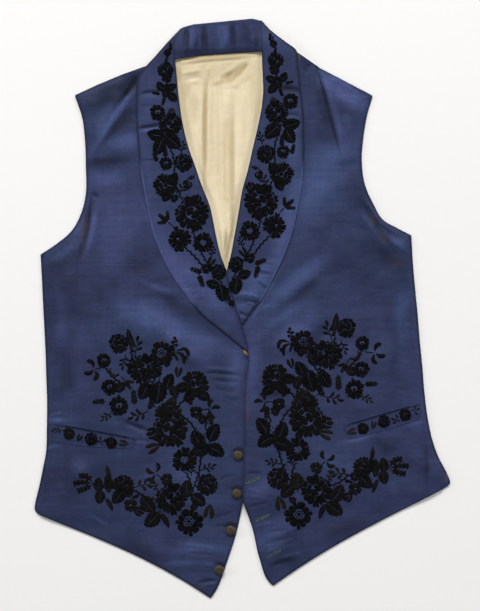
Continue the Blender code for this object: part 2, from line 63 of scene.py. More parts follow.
# A crease is a fold finer than the solids have: a trough where its height is below 0. bend is how far
# its middle stands off the straight line between its ends.
Crease = namedtuple("Crease", "x0 y0 x1 y1 height half_width bend", defaults=(0,))
# A patch of painted light on the silk, sheen or shade by its sign: its reach along and across, its turn in
# degrees, and how much lighter or darker it is painted.
PaintedLightPatch = namedtuple("PaintedLightPatch", "x y length width turn strength")
# A stain or a worn place, or on the lining also painted shade, as an oval with a soft edge.
StainAndPaintedShade = namedtuple("StainAndPaintedShade", "x y radius_x radius_y strength turn", defaults=(0,))
# A motif of the pattern and its places on both sides, in mirror image of each other. turn is in
# degrees from +X, as it lies on the wearer's right, and wear is how far its pile is worn brown.
Motif = namedtuple("Motif", "kind right_x right_y left_x left_y radius turn wear", defaults=(0, 0))
# A layer of cloth, by the functions that give the heights of its underside and its upper side.
Layer = namedtuple("Layer", "under over")
# A buttonhole, from its end by the edge to its far end.
Slit = namedtuple("Slit", "x0 y0 x1 y1")
# Loose ends of ochre thread, where the silk has worn through: where they start and how far they spread.
Fray = namedtuple("Fray", "x y length heading spread count")


def table(kind, *rows):
    """The rows of a table, each as one of its kind."""
    return [kind(*row) for row in rows]


def welt_motifs(*rows):
    """The motifs of one welt, which have a single place each."""
    return [Motif(kind, x, y, x, y, *rest) for kind, x, y, *rest in rows]


# Thickness of each piece, with its own lining and interlining.
BACK_THICK = 1.2
LINING_THICK = 1.0
FRONT_THICK = 2.0
COLLAR_THICK = 1.6
BAND_THICK = 2.0
WELT_THICK = 1.4
SEAM_GAP = 0.3
LAYER_GAP = 0.4

# Height of the underside of each layer, where it lies flat.
LINING_REST = BACK_THICK + SEAM_GAP
FRONT_REST = LINING_REST + LINING_THICK + SEAM_GAP
BAND_REST = FRONT_REST
COLLAR_REST = FRONT_REST + FRONT_THICK + LAYER_GAP

# The front turns down round the edge of the back, which is cut this much smaller.
BACK_INSET = 6.6
ROLL_WIDTH = 5.4
ROLL_HEIGHT = 1.6
ROLL_FLAT = 0.5
ROLL_FULL = 20.0

# Below the hem of the back the fronts come down to the table.
HEM_FALL_START = 6.0
HEM_FALL = 26.0
# Above the neck seam the collar comes down to the table.
NECK_FALL_START = 1.0
NECK_FALL = 32.0

# The neck band lies lower than the collar over this half width and depth, and rises to it beside.
BAND_FLAT = 24.0
BAND_DEPTH = 12.0
BAND_RISE = 20.0

# The collar's edge stands this much past the front's edge.
COLLAR_PROUD = 0.8
LINING_UNDER_COLLAR = 14.0
LINING_PAST_POINT = 10.0
# The lining's puckers stay this far inside the V and below the neck seam, and grow over the fade.
PUCKER_CLEAR = 2.0
PUCKER_FADE = 8.0
PUCKER_NECK_CLEAR = 16.0

# The wearer's right front, on -X, from the shoulder down to the hem and the point.
OUTLINES = {}
OUTLINES["front_right"] = table(
    Section,
    (-81, 296.5, -200, 255), (-78.5, 269, -191.5, 229), (-74.5, 235, -188, 201),
    (-68.5, 204, -187, 170.5), (-58.5, 173, -187.2, 135.5), (-49.5, 147, -193.2, 111.6),
    (-42.5, 129.5, -203.8, 92.4), (-38, 113, -222.6, 76), (-34, 94.5, -241.2, 63.6, "outer"),
    (-28, 67, -239.7, 36), (-19, 42, -238.3, 6), (-8, 9.5, -236.6, -26.5), (3, -23, -235.3, -53),
    (9.5, -53, -234.4, -81.5), (11.5, -92.5, -233.4, -113), (11, -134.5, -233.7, -144),
    (8.5, -173, -234.9, -174.5), (4.5, -205, -238.8, -194.5), (-0.8, -232, -242.4, -212),
    (-7, -264, -246, -227), (-17.8, -299, -248, -236), (-34.8, -341.6, -248, -242),
    (-38.5, -347, -245, -246.2),
)
# The wearer's left front, on +X, which laps over the right.
OUTLINES["front_left"] = table(
    Section,
    (24, 306.5, 155, 254.5), (25, 275, 149, 234), (24.5, 246, 144, 205.5), (19, 217, 142, 177.5),
    (12.5, 189.5, 146, 147.5), (5.5, 158.5, 156, 124.5), (0.5, 141.5, 168, 105), (-2.5, 125, 184, 95.5),
    (-4, 115, 201.5, 86.5, "outer"), (-9, 86.5, 203.2, 56), (-19, 42, 206, 24, "inner"),
    (-12.5, 17.5, 209, -7), (-5, -7, 211.5, -38), (2, -31.5, 214.8, -72), (7, -51.5, 217.3, -102),
    (3.5, -98.5, 221, -131), (3, -140.5, 226.8, -158.5), (2, -186, 234.6, -180),
    (1.3, -231.5, 243.6, -197.2, "inner"), (12.6, -263, 247.2, -205.5), (21.2, -299.5, 248, -209.2),
    (33, -328.4, 245.2, -212.8), (36.8, -332, 240.4, -216),
)
# Each half of the collar, from its seam with the neck band down to its point. The first rows follow
# that seam on the inner side.
COLLAR_SEAM_ROWS = 4
# The band's lower edge slants: it meets the left half higher up, at this row.
BAND_LAST_LEFT = 3.1
OUTLINES["collar_right"] = table(
    Section,
    (-70.5, 336.3, -73.8, 334.6), (-75.5, 329.5, -83.3, 324.6), (-80.5, 320.5, -92, 315),
    (-82, 309.5, -104, 301.2), (-81.5, 298.5, -116, 288), (-79.5, 276, -124.5, 275.5),
    (-77.5, 255.5, -126.5, 253), (-72.5, 221.5, -126.5, 219.5), (-64.5, 189.5, -124, 187),
    (-58.5, 173, -120, 156), (-49.5, 147, -114, 122.5), (-40, 122.5, -107, 91), (-34, 94.5, -96, 62.5),
    (-28, 67, -83, 38), (-19, 42, -67, 15.5), (-8, 9.5, -47.5, -8.5), (1, -17.5, -24.5, -27),
    (8, -43, -3, -45), (9, -52, 6, -52),
)
OUTLINES["collar_left"] = table(
    Section,
    (21, 344.2, 22.8, 344), (21.5, 332.5, 32.8, 333), (22.5, 321.5, 44, 323.8),
    (23.5, 309, 54.2, 316.2), (24, 297.5, 63, 309.5), (25, 276.5, 66, 290.5), (25.5, 261.5, 69, 264),
    (24, 243.5, 72, 237.5), (19, 217, 73, 210), (12.5, 189.5, 73, 177.5), (7, 165, 70.5, 146.5),
    (0.5, 141.5, 66, 120.5), (-4, 115, 59, 90), (-9, 86.5, 49, 62.5), (-13.5, 62.5, 36, 35),
    (-19, 42, 21.5, 9, "inner"), (-11, 13, 14, 0), (-5, -7, 4, -13), (-1, -18.5, 0.5, -19),
)
# Where the lining starts and where the V has its point, as rows of each collar table.
LINING_TOP_RIGHT = 4.0
LINING_TOP_LEFT = 3.0
V_POINT_RIGHT = 14
V_POINT_LEFT = 15

# Shoulder seams, from the neck out to the tip.
SHOULDERS = {}
SHOULDERS["front_right"] = [
    (-81, 296.5), (-99, 293.5), (-116.5, 289), (-146, 278.6), (-174, 267), (-200, 255),
]
SHOULDERS["front_left"] = [
    (24, 306.5), (42.5, 310), (61, 308.5), (71.5, 301.5), (92.6, 287), (114, 276), (155, 254.5),
]
# The seam that joins the collar to the back, run on along the shoulders.
NECK_SEAM = [
    (-159, 276), (-116.5, 291), (-99, 298), (-81.5, 307), (-29.5, 313.5), (23.5, 317), (45, 316),
    (60.5, 311.5), (82, 297.5), (123, 271),
]
# The top edge of the back, from the right shoulder tip round the neck to the left.
BACK_TOP = [
    (-193, 251.5), (-172, 262), (-144.5, 273.5), (-116, 284), (-99, 291), (-81, 301), (-29.5, 309),
    (23.5, 312.5), (45, 311.5), (59.5, 305.5), (75, 293), (93, 281.5), (114.5, 269.5), (148, 250.5),
]
LINING_TOP = [(-95.5, 294), (-29.5, 308), (38, 307)]
BAND_TOP = [(-70.5, 337.2), (-59, 340.6), (-27, 344), (11.5, 348.2), (20.8, 346)]
BAND_BOTTOM = [(-81.5, 298.5), (-51.5, 303), (-27, 305), (24, 308)]

# The hems are hollowed between the side and the point: the depth of the hollow, and how far along.
HEM_HOLLOW = {"front_right": 7.5, "front_left": 5.8}
HEM_HOLLOW_SKEW = 1.35

# Rows of the front tables: the armpit, the last that the back reaches, and how many rows it takes
# for the curve of the shoulder, the hollow of the hem and the set-back of the edge to fade away.
ARMPIT_ROW = 8
BACK_LAST_ROW = 20
SHOULDER_FADE_ROWS = 4.0
HEM_FADE_ROWS = 3.0
SET_BACK_ROWS = 12.0
LINING_TOP_FADE = 0.2

# How far the left front is raised by the right front and its collar, down the overlap.
OVERLAP_LIFT = table(Lift, (150, 0), (55, 4.6), (-57, 4.6), (-122, 2.5), (-212, 2.5), (-302, 0))
LIFT_SHELF = 2.0
LIFT_FADE = 75.0

FOLDS = {}
FOLDS["front_right"] = table(
    Fold,
    (-150, 250, -164, 172, 1.5, 15), (-166, 120, -120, 40, 1.3, 18), (-205, 30, -150, -60, 1.4, 20),
    (-140, -20, -45, -62, 1.3, 17), (-185, -190, -212, -222, 1, 16), (-95, -235, -60, -300, 1.2, 18),
)
FOLDS["front_left"] = table(
    Fold,
    (97, 262, 122, 182, 1.5, 15), (126, 150, 168, 78, 1.3, 17), (95, 92, 172, 20, 1.4, 20),
    (60, -30, 150, -66, 1.2, 18), (185, -160, 214, -188, 1, 15), (70, -225, 45, -290, 1.2, 18),
)
FOLDS["back_lining"] = table(
    Fold,
    (-41, 285, -43, 125, 1.2, 8), (-13, 255, -13, 90, 1.3, 9), (-30, 270, -27, 200, 0.7, 7),
)

WELTS = {
    "welt_right": Welt((-129, -157.5), (-226, -140), (-131, -166.5), (-226, -159), 3.0),
    "welt_left": Welt((122.5, -142), (212, -116), (128, -156.5), (212, -133), 1.0),
}

BUTTON_COUNT = 4


# ---------------------------------------------------------------- the pattern

# The sprays on the fronts and the chains of flowers on the lapels: their motifs, and the stems between
# them as they lie on the wearer's right.
SPRAY_MOTIFS = table(
    Motif,
    ("rose", -148, -42.5, 124, -24, 13.2, 20), ("slim", -134, -36, 110.5, -17, 12.5, 108, 0.1),
    ("sprig", -127, -49, 104, -30, 11.5, 80, 0.1), ("ring", -166, -63, 143.5, -42.5, 9.8),
    ("curls", -177, -73, 158, -53.5, 13, 200, 0.1), ("curl", -153, -75.5, 133.5, -55.5, 8.6, 250, 0.3),
    ("peony", -121, -72.5, 102, -56, 19.4, -10), ("daisy", -96, -54.5, 72, -41.5, 16, 12, 0.05),
    ("branch", -77.5, -52, 55, -41.3, 12.4, 0, 0.15), ("small", -68.5, -60, 47.1, -50.4, 3.2, 0, 0.1),
    ("pair", -77, -77, 58, -66.5, 6.9, 80, 0.2), ("ring", -159, -95, 142, -73.5, 10.9, 30),
    ("leaf", -146, -95, 129, -75.5, 8.2, 40, 0.1), ("ring", -148, -117.5, 134, -97.5, 13, 10),
    ("leaf", -118.5, -99.5, 99.5, -85.5, 11.6, 245), ("leaf", -102, -102, 82, -87.5, 14.2, 262),
    ("leaf", -87.5, -87.5, 68.5, -72.5, 10, 70), ("leaf", -82, -101, 66, -89.5, 8.2, -60, 0.1),
    ("peony", -56, -90.5, 38.5, -82.2, 17.4, 70, 0.05), ("leaf", -73.5, -94.5, 56.3, -84, 9, 196),
    ("leaf", -64, -105, 48.2, -95.6, 9.4, 232), ("leaf", -46.5, -106, 30.9, -98.7, 9, -24),
    ("pair", -84.5, -113, 70, -101.5, 9.7, 235, 0.3), ("star", -55.5, -125, 43.5, -115, 8.5),
    ("curls", -39, -121.5, 26, -113, 11.5, 8, 0.15), ("sprig", -123, -127, 106, -107, 11.5, 200, 0.2),
    ("spike", -130, -108, 115, -91, 9.2, 95, 0.2), ("crown", -88.5, -127, 74.5, -116, 17.5, 90, 0.12),
    ("peony", -87, -145.5, 77, -134, 24.6, 35, 0.05), ("leaf", -34, -149, 23.5, -141.5, 12, 65),
    ("leaf", -53.5, -156, 46, -146.5, 12, 120), ("leaf", -32, -171.5, 28, -159.5, 12, -25),
    ("leaf", -51, -169, 48.5, -162, 12, 200), ("bud", -107.5, -150, 101, -137.5, 8.6, 190, 0.15),
    ("pair", -106.5, -167, 99, -151, 9.4, 205, 0.35), ("star8", -69.5, -182, 66, -170, 16.3, 22),
    ("small", -91, -205, 88.5, -191.5, 7.9, 0, 0.12), ("curls", -104, -198, 99.5, -183, 12, 150, 0.2),
    ("sprig", -42.5, -192, 38, -185.5, 8.6, 20, 0.2), ("rose", -42, -212, 42, -204.5, 14.5, -30, 0.05),
    ("leaf", -66, -216, 65, -207, 10.9, 92, 0.15), ("leaf", -53, -230.5, 54, -220, 10.9, -35, 0.1),
    ("pair", -40, -243.5, 45, -234, 9.7, 262, 0.45), ("peony", -85, -228.5, 88.5, -219, 20.7, 10),
    ("daisy", -63.5, -257, 67, -248.5, 17.4), ("leaf", -113.5, -234, 113.5, -221.5, 12.3, 130, 0.1),
    ("leaf", -109, -253.5, 111, -240, 12.3, 225, 0.1), ("slim", -93, -255.5, 96, -244, 10.6, -60, 0.1),
    ("rose", -142, -212, 144.5, -190.5, 13.9, 40, 0.05),
    ("slim", -161, -210, 159, -191, 11.9, 100, 0.1), ("leaf", -149.5, -225.5, 148, -207.5, 10.9, 235),
    ("leaf", -172, -211, 168.5, -187.4, 8.8, 92, 0.1),
    ("leaf", -171.5, -226.5, 169.9, -202.9, 8.8, 266, 0.1),
    ("star", -134, -236.5, 135, -216.5, 8.9, 0, 0.1), ("bud", -124, -243.5, 126, -226.5, 6.9, -30, 0.1),
    ("fern", -190.5, -208.5, 187, -189, 13, 172, 0.12),
    ("slim", -160.5, -196, 155.2, -174, 8.4, 104, 0.35),
    ("slim", -159.5, -236, 159.1, -213.8, 9, -62, 0.2),
    ("sprig", -119.5, -212.5, 118, -198.5, 11.5, 15, 0.35),
    ("sprig", -142, -62.5, 120.5, -44.5, 8.6, 255, 0.1),
    ("frond", -141, -88, 124.5, -67, 8.4, -55, 0.15), ("spike", -171, -112, 153, -91, 8, 185, 0.15),
    ("sprig", -162, -128.5, 147.5, -107, 8, 220, 0.4), ("small", -48, -133.5, 39, -123.5, 6, 10, 0.05),
    ("spike", -38.5, -131.5, 29, -124, 8.4, -80, 0.15), ("crown", -107, -74, 88, -58, 12, -12),
    ("sprig", -113, -89, 94, -74, 6.6, -95), ("spike", -94, -118.5, 80, -104, 6, 60, 0.1),
    ("spike", -108, -112, 92, -97, 9, 245, 0.05), ("spike", -66, -110.5, 53, -100.5, 7, -40),
    ("sprig", -60.5, -195, 57.5, -184, 6.6, 80, 0.05), ("small", -58, -238.5, 60, -230, 5, 0, 0.05),
    ("sprig", -104, -214, 104, -203, 7, 130, 0.3), ("slim", -150, -212.5, 148.5, -193.5, 9, 100, 0.05),
    ("small", -90.5, -66.5, 69.7, -54.1, 4.6), ("leaf", -158.5, -209, 154.8, -187.1, 7, 95, 0.05),
    ("small", -136, -221.5, 134, -202.3, 6, 0, 0.05),
    ("spike", -128, -226, 126.7, -207.7, 5, 200, 0.05),
)
SPRAY_STEMS = [
    [(-134, -45.5), (-132.5, -57.5), (-128, -69.5), (-123, -81.5)],
    [(-166, -69.5), (-156.5, -81.5), (-144.5, -91)],
    [(-95.5, -67), (-101.5, -79), (-108.5, -91), (-111, -108), (-101.5, -122.5)],
    [(-68, -108), (-75, -115), (-80, -122.5)],
    [(-45, -149), (-46, -165.5), (-50, -180), (-52, -197), (-57, -211), (-63, -228)],
    [(-56, -194.5), (-50, -204), (-44, -209)],
    [(-80, -125), (-65.5, -134.5), (-51, -153.5)],
    [(-39, -120), (-42.5, -132), (-45, -146.5)],
    [(-69, -194.5), (-63, -206.5), (-60.5, -221)],
    [(-147, -103), (-149.5, -110.5), (-148, -115)],
    [(-171, -213.5), (-159, -216), (-144.5, -215), (-130, -218.5), (-114.5, -227), (-101.5, -229)],
    [(-161.5, -189.5), (-159, -201.5), (-156.5, -213.5)],
]
LAPEL_MOTIFS = table(
    Motif,
    ("spike", -86.2, 312.5, 33, 324, 5, 95), ("small", -89.8, 306, 37, 316.5, 5.2, 20),
    ("spike", -91, 296, 38.5, 307, 3.6, 100), ("peony", -92, 284.5, 39.5, 296.5, 10.8, 10),
    ("small", -90.5, 276.5, 38, 286.5, 7.4, 40), ("leaf", -98, 266, 49, 277, 6.8, 125),
    ("leaf", -92, 259, 43, 270, 8.2, 255), ("leaf", -84.5, 264, 33.5, 273.5, 6.8, 30),
    ("leaf", -84, 252, 36, 262, 7.4, -40), ("spike", -94.5, 248, 46, 259, 5, -105),
    ("ring", -101.5, 234, 57.5, 247.5, 10.7), ("peony", -86, 219.5, 40.5, 234, 15.6, 15),
    ("bud", -84.8, 235.5, 37, 248, 4.6, 80, 0.35), ("leaf", -104, 208, 59, 221, 10.9, 170),
    ("leaf", -101, 193, 57, 206.5, 10.9, 245), ("leaf", -84, 198.5, 36, 211, 12.3, -38),
    ("sprig", -72, 191, 22, 202, 7.2, 80, 0.1), ("ring", -91.5, 173, 48.5, 187, 9, 15),
    ("spike", -104, 180, 60, 189.5, 6.6, 110, 0.1), ("rose", -70.5, 174, 27.5, 184.5, 12.4, 35),
    ("aster", -92, 147, 46.5, 160.5, 16, 160), ("leaf", -81.5, 155, 35.5, 167, 8.2, 75),
    ("leaf", -92, 134.5, 45, 147.5, 8.2, 250), ("bud", -55, 130, 9.5, 145, 6.9, 75),
    ("sprig", -72.5, 141.5, 26, 152.5, 8.6, 70, 0.1), ("branch", -65, 151.5, 19, 163.5, 7, -60, 0.1),
    ("peony", -60, 113, 21.5, 127.5, 22.7, 25), ("frond", -89.5, 103.5, 50.5, 120.5, 9.8, 138, 0.1),
    ("carnation", -75.5, 82.5, 38.5, 98.5, 16.4, 190), ("star8", -47, 78, 8.5, 92, 13.4, 10),
    ("pair", -38, 55, 1.5, 66, 6.9, 60, 0.1), ("small", -43, 47.5, 8.5, 60, 7),
    ("spike", -54.5, 44.5, 20.5, 55, 7.9, 160, 0.1), ("spike", -50, 33.5, 17.5, 44.5, 7.9, -70, 0.1),
    ("rose", -28.5, 43, -8, 52, 10.6), ("leaf", -36, 29.5, 2.5, 41, 8.4, 165),
    ("leaf", -25.5, 17.5, -7, 26, 10.8, -78), ("bud", -13, 5.5, -18.5, 13, 4.4, -68, 0.2),
    ("spike", -103, 257, 55.5, 270, 5, 170, 0.05), ("spike", -92.5, 186.5, 47, 199.5, 7, 95, 0.05),
    ("small", -81.5, 131.5, 31, 143.5, 5.4), ("spike", -66, 146.5, 20.5, 158, 6.6, 105, 0.1),
    ("spike", -57, 96, 18, 110, 6, 250), ("sprig", -36, 66, -1.5, 77, 6.6, 75, 0.05),
)
LAPEL_STEMS = [
    [(-88, 312), (-90.5, 300), (-92, 290.5)],
    [(-92, 276), (-90.5, 261.5), (-87, 248.5)],
    [(-87, 209), (-89.5, 199), (-84.5, 187), (-81, 170.5), (-82, 151), (-75, 134.5), (-68, 125)],
    [(-93, 209), (-99, 204)],
    [(-63, 98.5), (-56, 81.5), (-47.5, 62.5), (-36.5, 45.5), (-24.5, 29), (-16, 12), (-10, -1)],
    [(-71.5, 74.5), (-58, 62.5), (-46, 48)],
    [(-82, 98.5), (-77.5, 91)],
]
WELT_MOTIFS = {}
WELT_MOTIFS["welt_right"] = welt_motifs(
    ("sprig", -220.5, -146, 6, 180, 0.3), ("ring", -207.5, -150.5, 8.2, 0, 0.1),
    ("small", -207.5, -150.5, 3, 0, 0.8), ("pair", -195.5, -155.5, 4.8, 60, 0.1),
    ("rose", -181, -157, 8.9, 20, 0), ("curls", -168.5, -159.5, 5.6, 100, 0.1),
    ("ring", -157, -161.5, 8.1, 10, 0), ("small", -157, -161.5, 2.8, 0, 0.7),
    ("pair", -142, -162, 6.2, 170, 0.6),
)
WELT_MOTIFS["welt_left"] = welt_motifs(
    ("pair", 130.5, -148, 6.2, 15, 0.6), ("ring", 144.5, -144.5, 8, 0, 0.05),
    ("small", 144.5, -144.5, 3, 0, 0.8), ("pair", 157, -140, 5, 80, 0.3),
    ("rose", 169.5, -136, 8.7, -20, 0), ("curls", 184, -133.5, 5.6, 160, 0.1),
    ("ring", 195, -128, 8.4, 10, 0), ("small", 195, -128, 3.4, 0, 0.8),
    ("curls", 207, -122.5, 5.6, 10, 0.5),
)


# ---------------------------------------------------------------- creases, stains and sewing

CREASES = {}
CREASES["front_right"] = table(
    Crease,
    (-125.5, 280, -148, 253, -1.2, 6, 3), (-124.5, 279.5, -145, 250, -2.2, 1.8, 1.6),
    (-133, 284, -156, 262, 0.4, 5, 3), (-126, 270, -177, 190, 1.53, 7, -6),
    (-134, 262, -170, 205, -1.02, 4, -4), (-181, 138.5, -170, 131, -1.5, 1.8),
    (-186, 124, -197, 55, -1.36, 3.4, 5), (-180, 120, -190, 62, 1.02, 4, 5),
    (-232, -131, -214, -127, 1.02, 2.2, 1.5), (-144, -136.5, -114, -149, -1.9, 1.5, 1),
    (-146, -140, -116, -152, 0.35, 2.8, 1.5), (-49, -77, 2, -81.5, -1.9, 1.3, 1),
    (-38, -85, -1, -88, -1.6, 1.4, -1), (-46, -72.5, -4, -76, 0.8, 2, 1),
    (-36, -94, -4, -99, -0.9, 2.2, -2), (-24, -104, -3, -110, -0.6, 2.6, -2),
    (-57, -331.5, -27, -327, -1.3, 1.5, 2), (-50, -335, -30, -331, 0.8, 1.5, 1.5),
    (-34, -261.5, -20, -262, -1.3, 1.1, 0.4), (-38, -181, -14, -176, 1, 1.2, 0.6),
    (-137, -156, -108, -160.5, -0.9, 1.3, 0.6), (-137, -160, -112, -164, 0.8, 1.4, 0.6),
    (-48, -308, -34, -309.5, 0.9, 1.3, 0.5), (-82, -284, -30, -290, 0.9, 2.2, 2),
    (-70, -294, -26, -298, -0.8, 1.8, 1.2), (-128, 12, -33, -76, 1.87, 13, -8),
    (-112, -8, -46, -78, -1.36, 9, -8), (-224, 40, -216, -60, 1.02, 8, 3),
    (-212, -20, -204, -118, -0.85, 9, -3), (-96, -190, -30, -236, 1.19, 12, 5),
    (-150, -214, -74, -262, -0.85, 10, 4), (-208, -178, -180, -222, 0.85, 9, 2),
    (-28, -206, -8, -200, -1.1, 1.5, 1), (-36, -252, -12, -246, -1.1, 1.6, 1),
)
CREASES["front_left"] = table(
    Crease,
    (90, 287, 117, 184, -1.9, 1.3, 0.5), (94, 290, 123, 186, 1.4, 4, 0.8),
    (66, 297, 83, 287, -1.19, 2.4, 1), (68, 291, 80, 281, -0.85, 2.2, 1),
    (104, 282, 136, 262, 1.19, 7, 2), (108, 274, 134, 240, -1.02, 6, 3),
    (141, 146, 196, 88, 0.7, 2.6, -9), (138, 139, 190, 84, -0.8, 2, -8),
    (148, 124, 165, 92, -1.4, 1.6, 1.5), (160, 90, 188, 58, -0.7, 2.8, 3),
    (172, 86, 198, 66, 0.6, 3, 2), (3, -198.5, 26, -198, -1.2, 1.4, 1),
    (4, -216.5, 25, -222, 1.2, 1.2, 0.6), (6, -225, 28, -228, 0.8, 1.2, 0.6),
    (5, -239.5, 34, -232, -1.2, 1.4, 1), (14, -262, 40, -258, 0.9, 1.5, 0.8),
    (24, -271, 56, -266, -0.8, 1.6, 0.8), (20, -286, 70, -273, -1, 2.4, 2),
    (24, -296.5, 62, -284, 0.8, 2.4, 1.5), (27, -310.5, 66, -303, -1, 2.2, 1.5),
    (46, -300.5, 73, -294.5, 1, 1.6, 0.8), (219, -163, 221, -205, -0.85, 3),
    (98, 12, 30, -54, 1.53, 12, 8), (112, -4, 48, -62, -1.19, 9, 8), (196, 30, 190, -60, 1.02, 9, -3),
    (182, -10, 180, -96, -0.85, 9, 3), (92, -178, 150, -206, 0.85, 12, -4),
    (16, -112, 54, -104, -1.02, 5, 2), (12, -150, 40, -146, 0.85, 5, 1),
    (150, -150, 186, -178, -0.85, 8, -2),
)
CREASES["collar_right"] = table(
    Crease,
    (-123, 257.4, -90, 259.6, -1.35, 1.5, 0.5), (-122, 242, -102, 241, -0.9, 2, 0.5),
    (-125, 215.6, -92, 221, -1.65, 1.5, -1), (-124, 211, -96, 215.5, 0.9, 1.8, -1),
    (-124, 176.5, -98, 177.5, -1.1, 1.1), (-71.5, 26.8, -62, 31.4, -1, 1.1),
    (-69.5, 22.8, -58.5, 28, -1, 1.1), (-65.6, 19, -54.5, 24.4, -0.9, 1.1),
    (-62.2, 15, -51.5, 20.6, -0.9, 1.1), (-55, 7.5, -46, 12.5, -0.6, 1.2),
    (-108, 110, -84, 96, 0.75, 7, 2), (-96, 74, -60, 54, -0.6, 7, 2), (-78, 44, -30, 30, 0.75, 6, 2),
)
CREASES["collar_left"] = table(
    Crease,
    (47, 262.5, 68, 260, -1.35, 2.4, 1), (46, 257, 68, 254, 0.75, 2.8, 1),
    (46, 232.5, 70, 229.5, -1.35, 2.4, 1), (44, 219, 70, 216, -1.05, 2.4, 1),
    (44, 225.5, 70, 222.5, 0.75, 3, 1), (-6, 16.5, 25, 9.5, 1.05, 2.6, 1.6),
    (-4.8, -4.4, 7.1, -9.9, -2.2, 1.3), (-3, -10, 6.5, -14, 1.2, 1.8),
    (4.5, 6.2, 15.5, 2.4, 1.6, 1.4, 0.8), (-8.5, 14.6, 21, 10.8, 1.2, 1.4, 4),
    (18, 31.5, 30.5, 22, -1.6, 1.5), (16, 42.8, 37, 38.8, -1.4, 1.6, 0.8),
    (17, 46.4, 38, 42.6, 0.9, 1.6, 0.8), (22, 54, 40, 51, -1, 1.4), (14.5, 37, 31, 24, 0.9, 2.6, 1),
    (40, 120, 62, 112, 0.6, 6, 1), (16, 66, 46, 58, -0.6, 6, 1),
)
CREASES["collar_back"] = table(
    Crease,
    (-67.5, 336, -70, 309, -1.05, 2.2, 0.5), (-61.5, 337, -62, 308, 0.9, 2.6, 0.5),
    (-45.5, 340, -44, 309, -1.2, 2.4, -0.8), (-39.5, 341, -39, 310, 0.75, 2.8, -0.8),
    (-30.5, 341, -31.5, 310, -0.9, 2, 0.5), (-21, 342, -19, 312, 0.75, 3.4, -0.6),
    (-12.5, 342, -13, 311, -1.2, 2.4, 0.6), (2, 342, 4, 314, -0.6, 3, 0.4),
    (10, 340, 12, 316, 0.6, 3, 0.4),
)
LINING_CREASES = table(
    Crease,
    (-84, 293, 14, 301.5, 1.1, 2.4, 1), (-80, 289.5, 4, 297.5, -1, 1.2, 1.6),
    (-76.5, 278.5, -46, 284.5, 1, 3.4, 1.5), (-75, 270, -47.5, 276.5, -0.9, 2.8, 1.5),
    (-45.5, 289, -47.5, 150, 2, 3.4, -3), (-40.5, 290, -42.5, 135, -2.9, 1.5, -3),
    (-35.5, 284, -37, 160, 0.8, 2.8, -2), (-31, 278, -30.8, 120, -0.6, 0.8, 0.5),
    (-28.3, 276, -28.6, 90, -0.6, 0.8, -0.5), (-25, 262, -24, 110, 0.6, 2.4, 0.8),
    (-22, 260, -21, 92, 1.9, 3, -2.6), (-15, 262, -15.5, 84, -2.4, 1.7, -3),
    (-9, 246, -9, 120, -1.1, 4, -1), (-1, 240, -3, 140, 0.8, 4.6, -1),
    (-14.5, 128, -2, 133, -0.8, 1.6, 0.6), (-19.5, 97, -21.5, 62, -2.3, 1.6, 0.6),
    (-15.5, 96, -18, 66, 1.2, 2, 0.6), (-25, 104, -26, 60, 1, 2.6, 0.6),
    (-24, 270.5, 10, 295.5, -1.6, 3.4, 1), (-24, 277, 6, 298.5, 0.8, 2.4, 1),
    (-16, 262, 13, 285, 1.2, 5, 1), (-63, 214, -49, 166, -0.7, 4, 1), (-66, 250, -58, 190, 0.7, 5, 1),
    (8, 262, 4, 186, -0.6, 5, 1), (15, 272, 11, 206, 0.7, 4.6, 1),
)
# The lining stands this much fuller where it shows in the V.
LINING_FULLNESS = 1.6

STAINS_AND_PAINTED_SHADE = {}
STAINS_AND_PAINTED_SHADE["front_right"] = table(
    StainAndPaintedShade,
    (-191, 84, 3, 26, 0.3), (-60, -334, 30, 6, 0.06), (-187, 102, 4, 14, 0.25),
)
STAINS_AND_PAINTED_SHADE["front_left"] = table(
    StainAndPaintedShade,
    (156, 106, 5, 10, 0.22), (168, 84, 8, 8, 0.2), (185, 56, 14, 9, 0.16), (67.5, 302, 2.6, 8, 0.9),
    (246, -196, 3, 12, 0.75), (5, -54, 3.4, 4.4, 0.8), (5.5, -120, 2.4, 26, 0.3),
    (226, -115, 4, 12, 0.3),
)
# On the lining these are mostly painted shade: beside its folds, under the band and in a wedge at its top.
# The broad darker places are partly soiling and partly painted shade, and one line follows its seam.
STAINS_AND_PAINTED_SHADE["back_lining"] = table(
    StainAndPaintedShade,
    (-29.6, 190, 1.2, 84, 0.12), (-68, 262, 8, 14, 0.45), (-20, 279, 10, 5, 0.65, 30),
    (-72, 238, 16, 60, 0.3), (-30, 288, 80, 18, 0.28), (-30, 300.5, 60, 5, 0.8, 3.5),
    (16, 262, 9, 50, 0.3), (-45.6, 205, 3.6, 80, 0.6), (-43.2, 240, 1.2, 50, 0.5),
    (-12.8, 165, 4, 88, 0.55), (-15.6, 195, 1.2, 60, 0.4), (-80, 280, 8, 14, 0.6),
    (0.5, 287.6, 10, 3.2, 1, 42), (-5, 282.5, 15, 4.6, 0.9, 41), (-13.5, 276.5, 11, 6, 0.75, 32),
    (-27, 270.5, 12, 3.4, 0.6, 16), (-62, 281, 16, 2.2, 0.6, 10), (-63, 268.5, 14, 3, 0.4, 12),
    (-41, 281, 9, 0.9, 0.7, 87), (-43.2, 262, 16, 1.2, 0.5, 82), (-19, 74, 3, 20, 0.6),
    (-14, 130, 9, 3, 0.3), (-60, 240, 9, 22, 0.3), (-31, 272, 7, 9, 0.25),
)
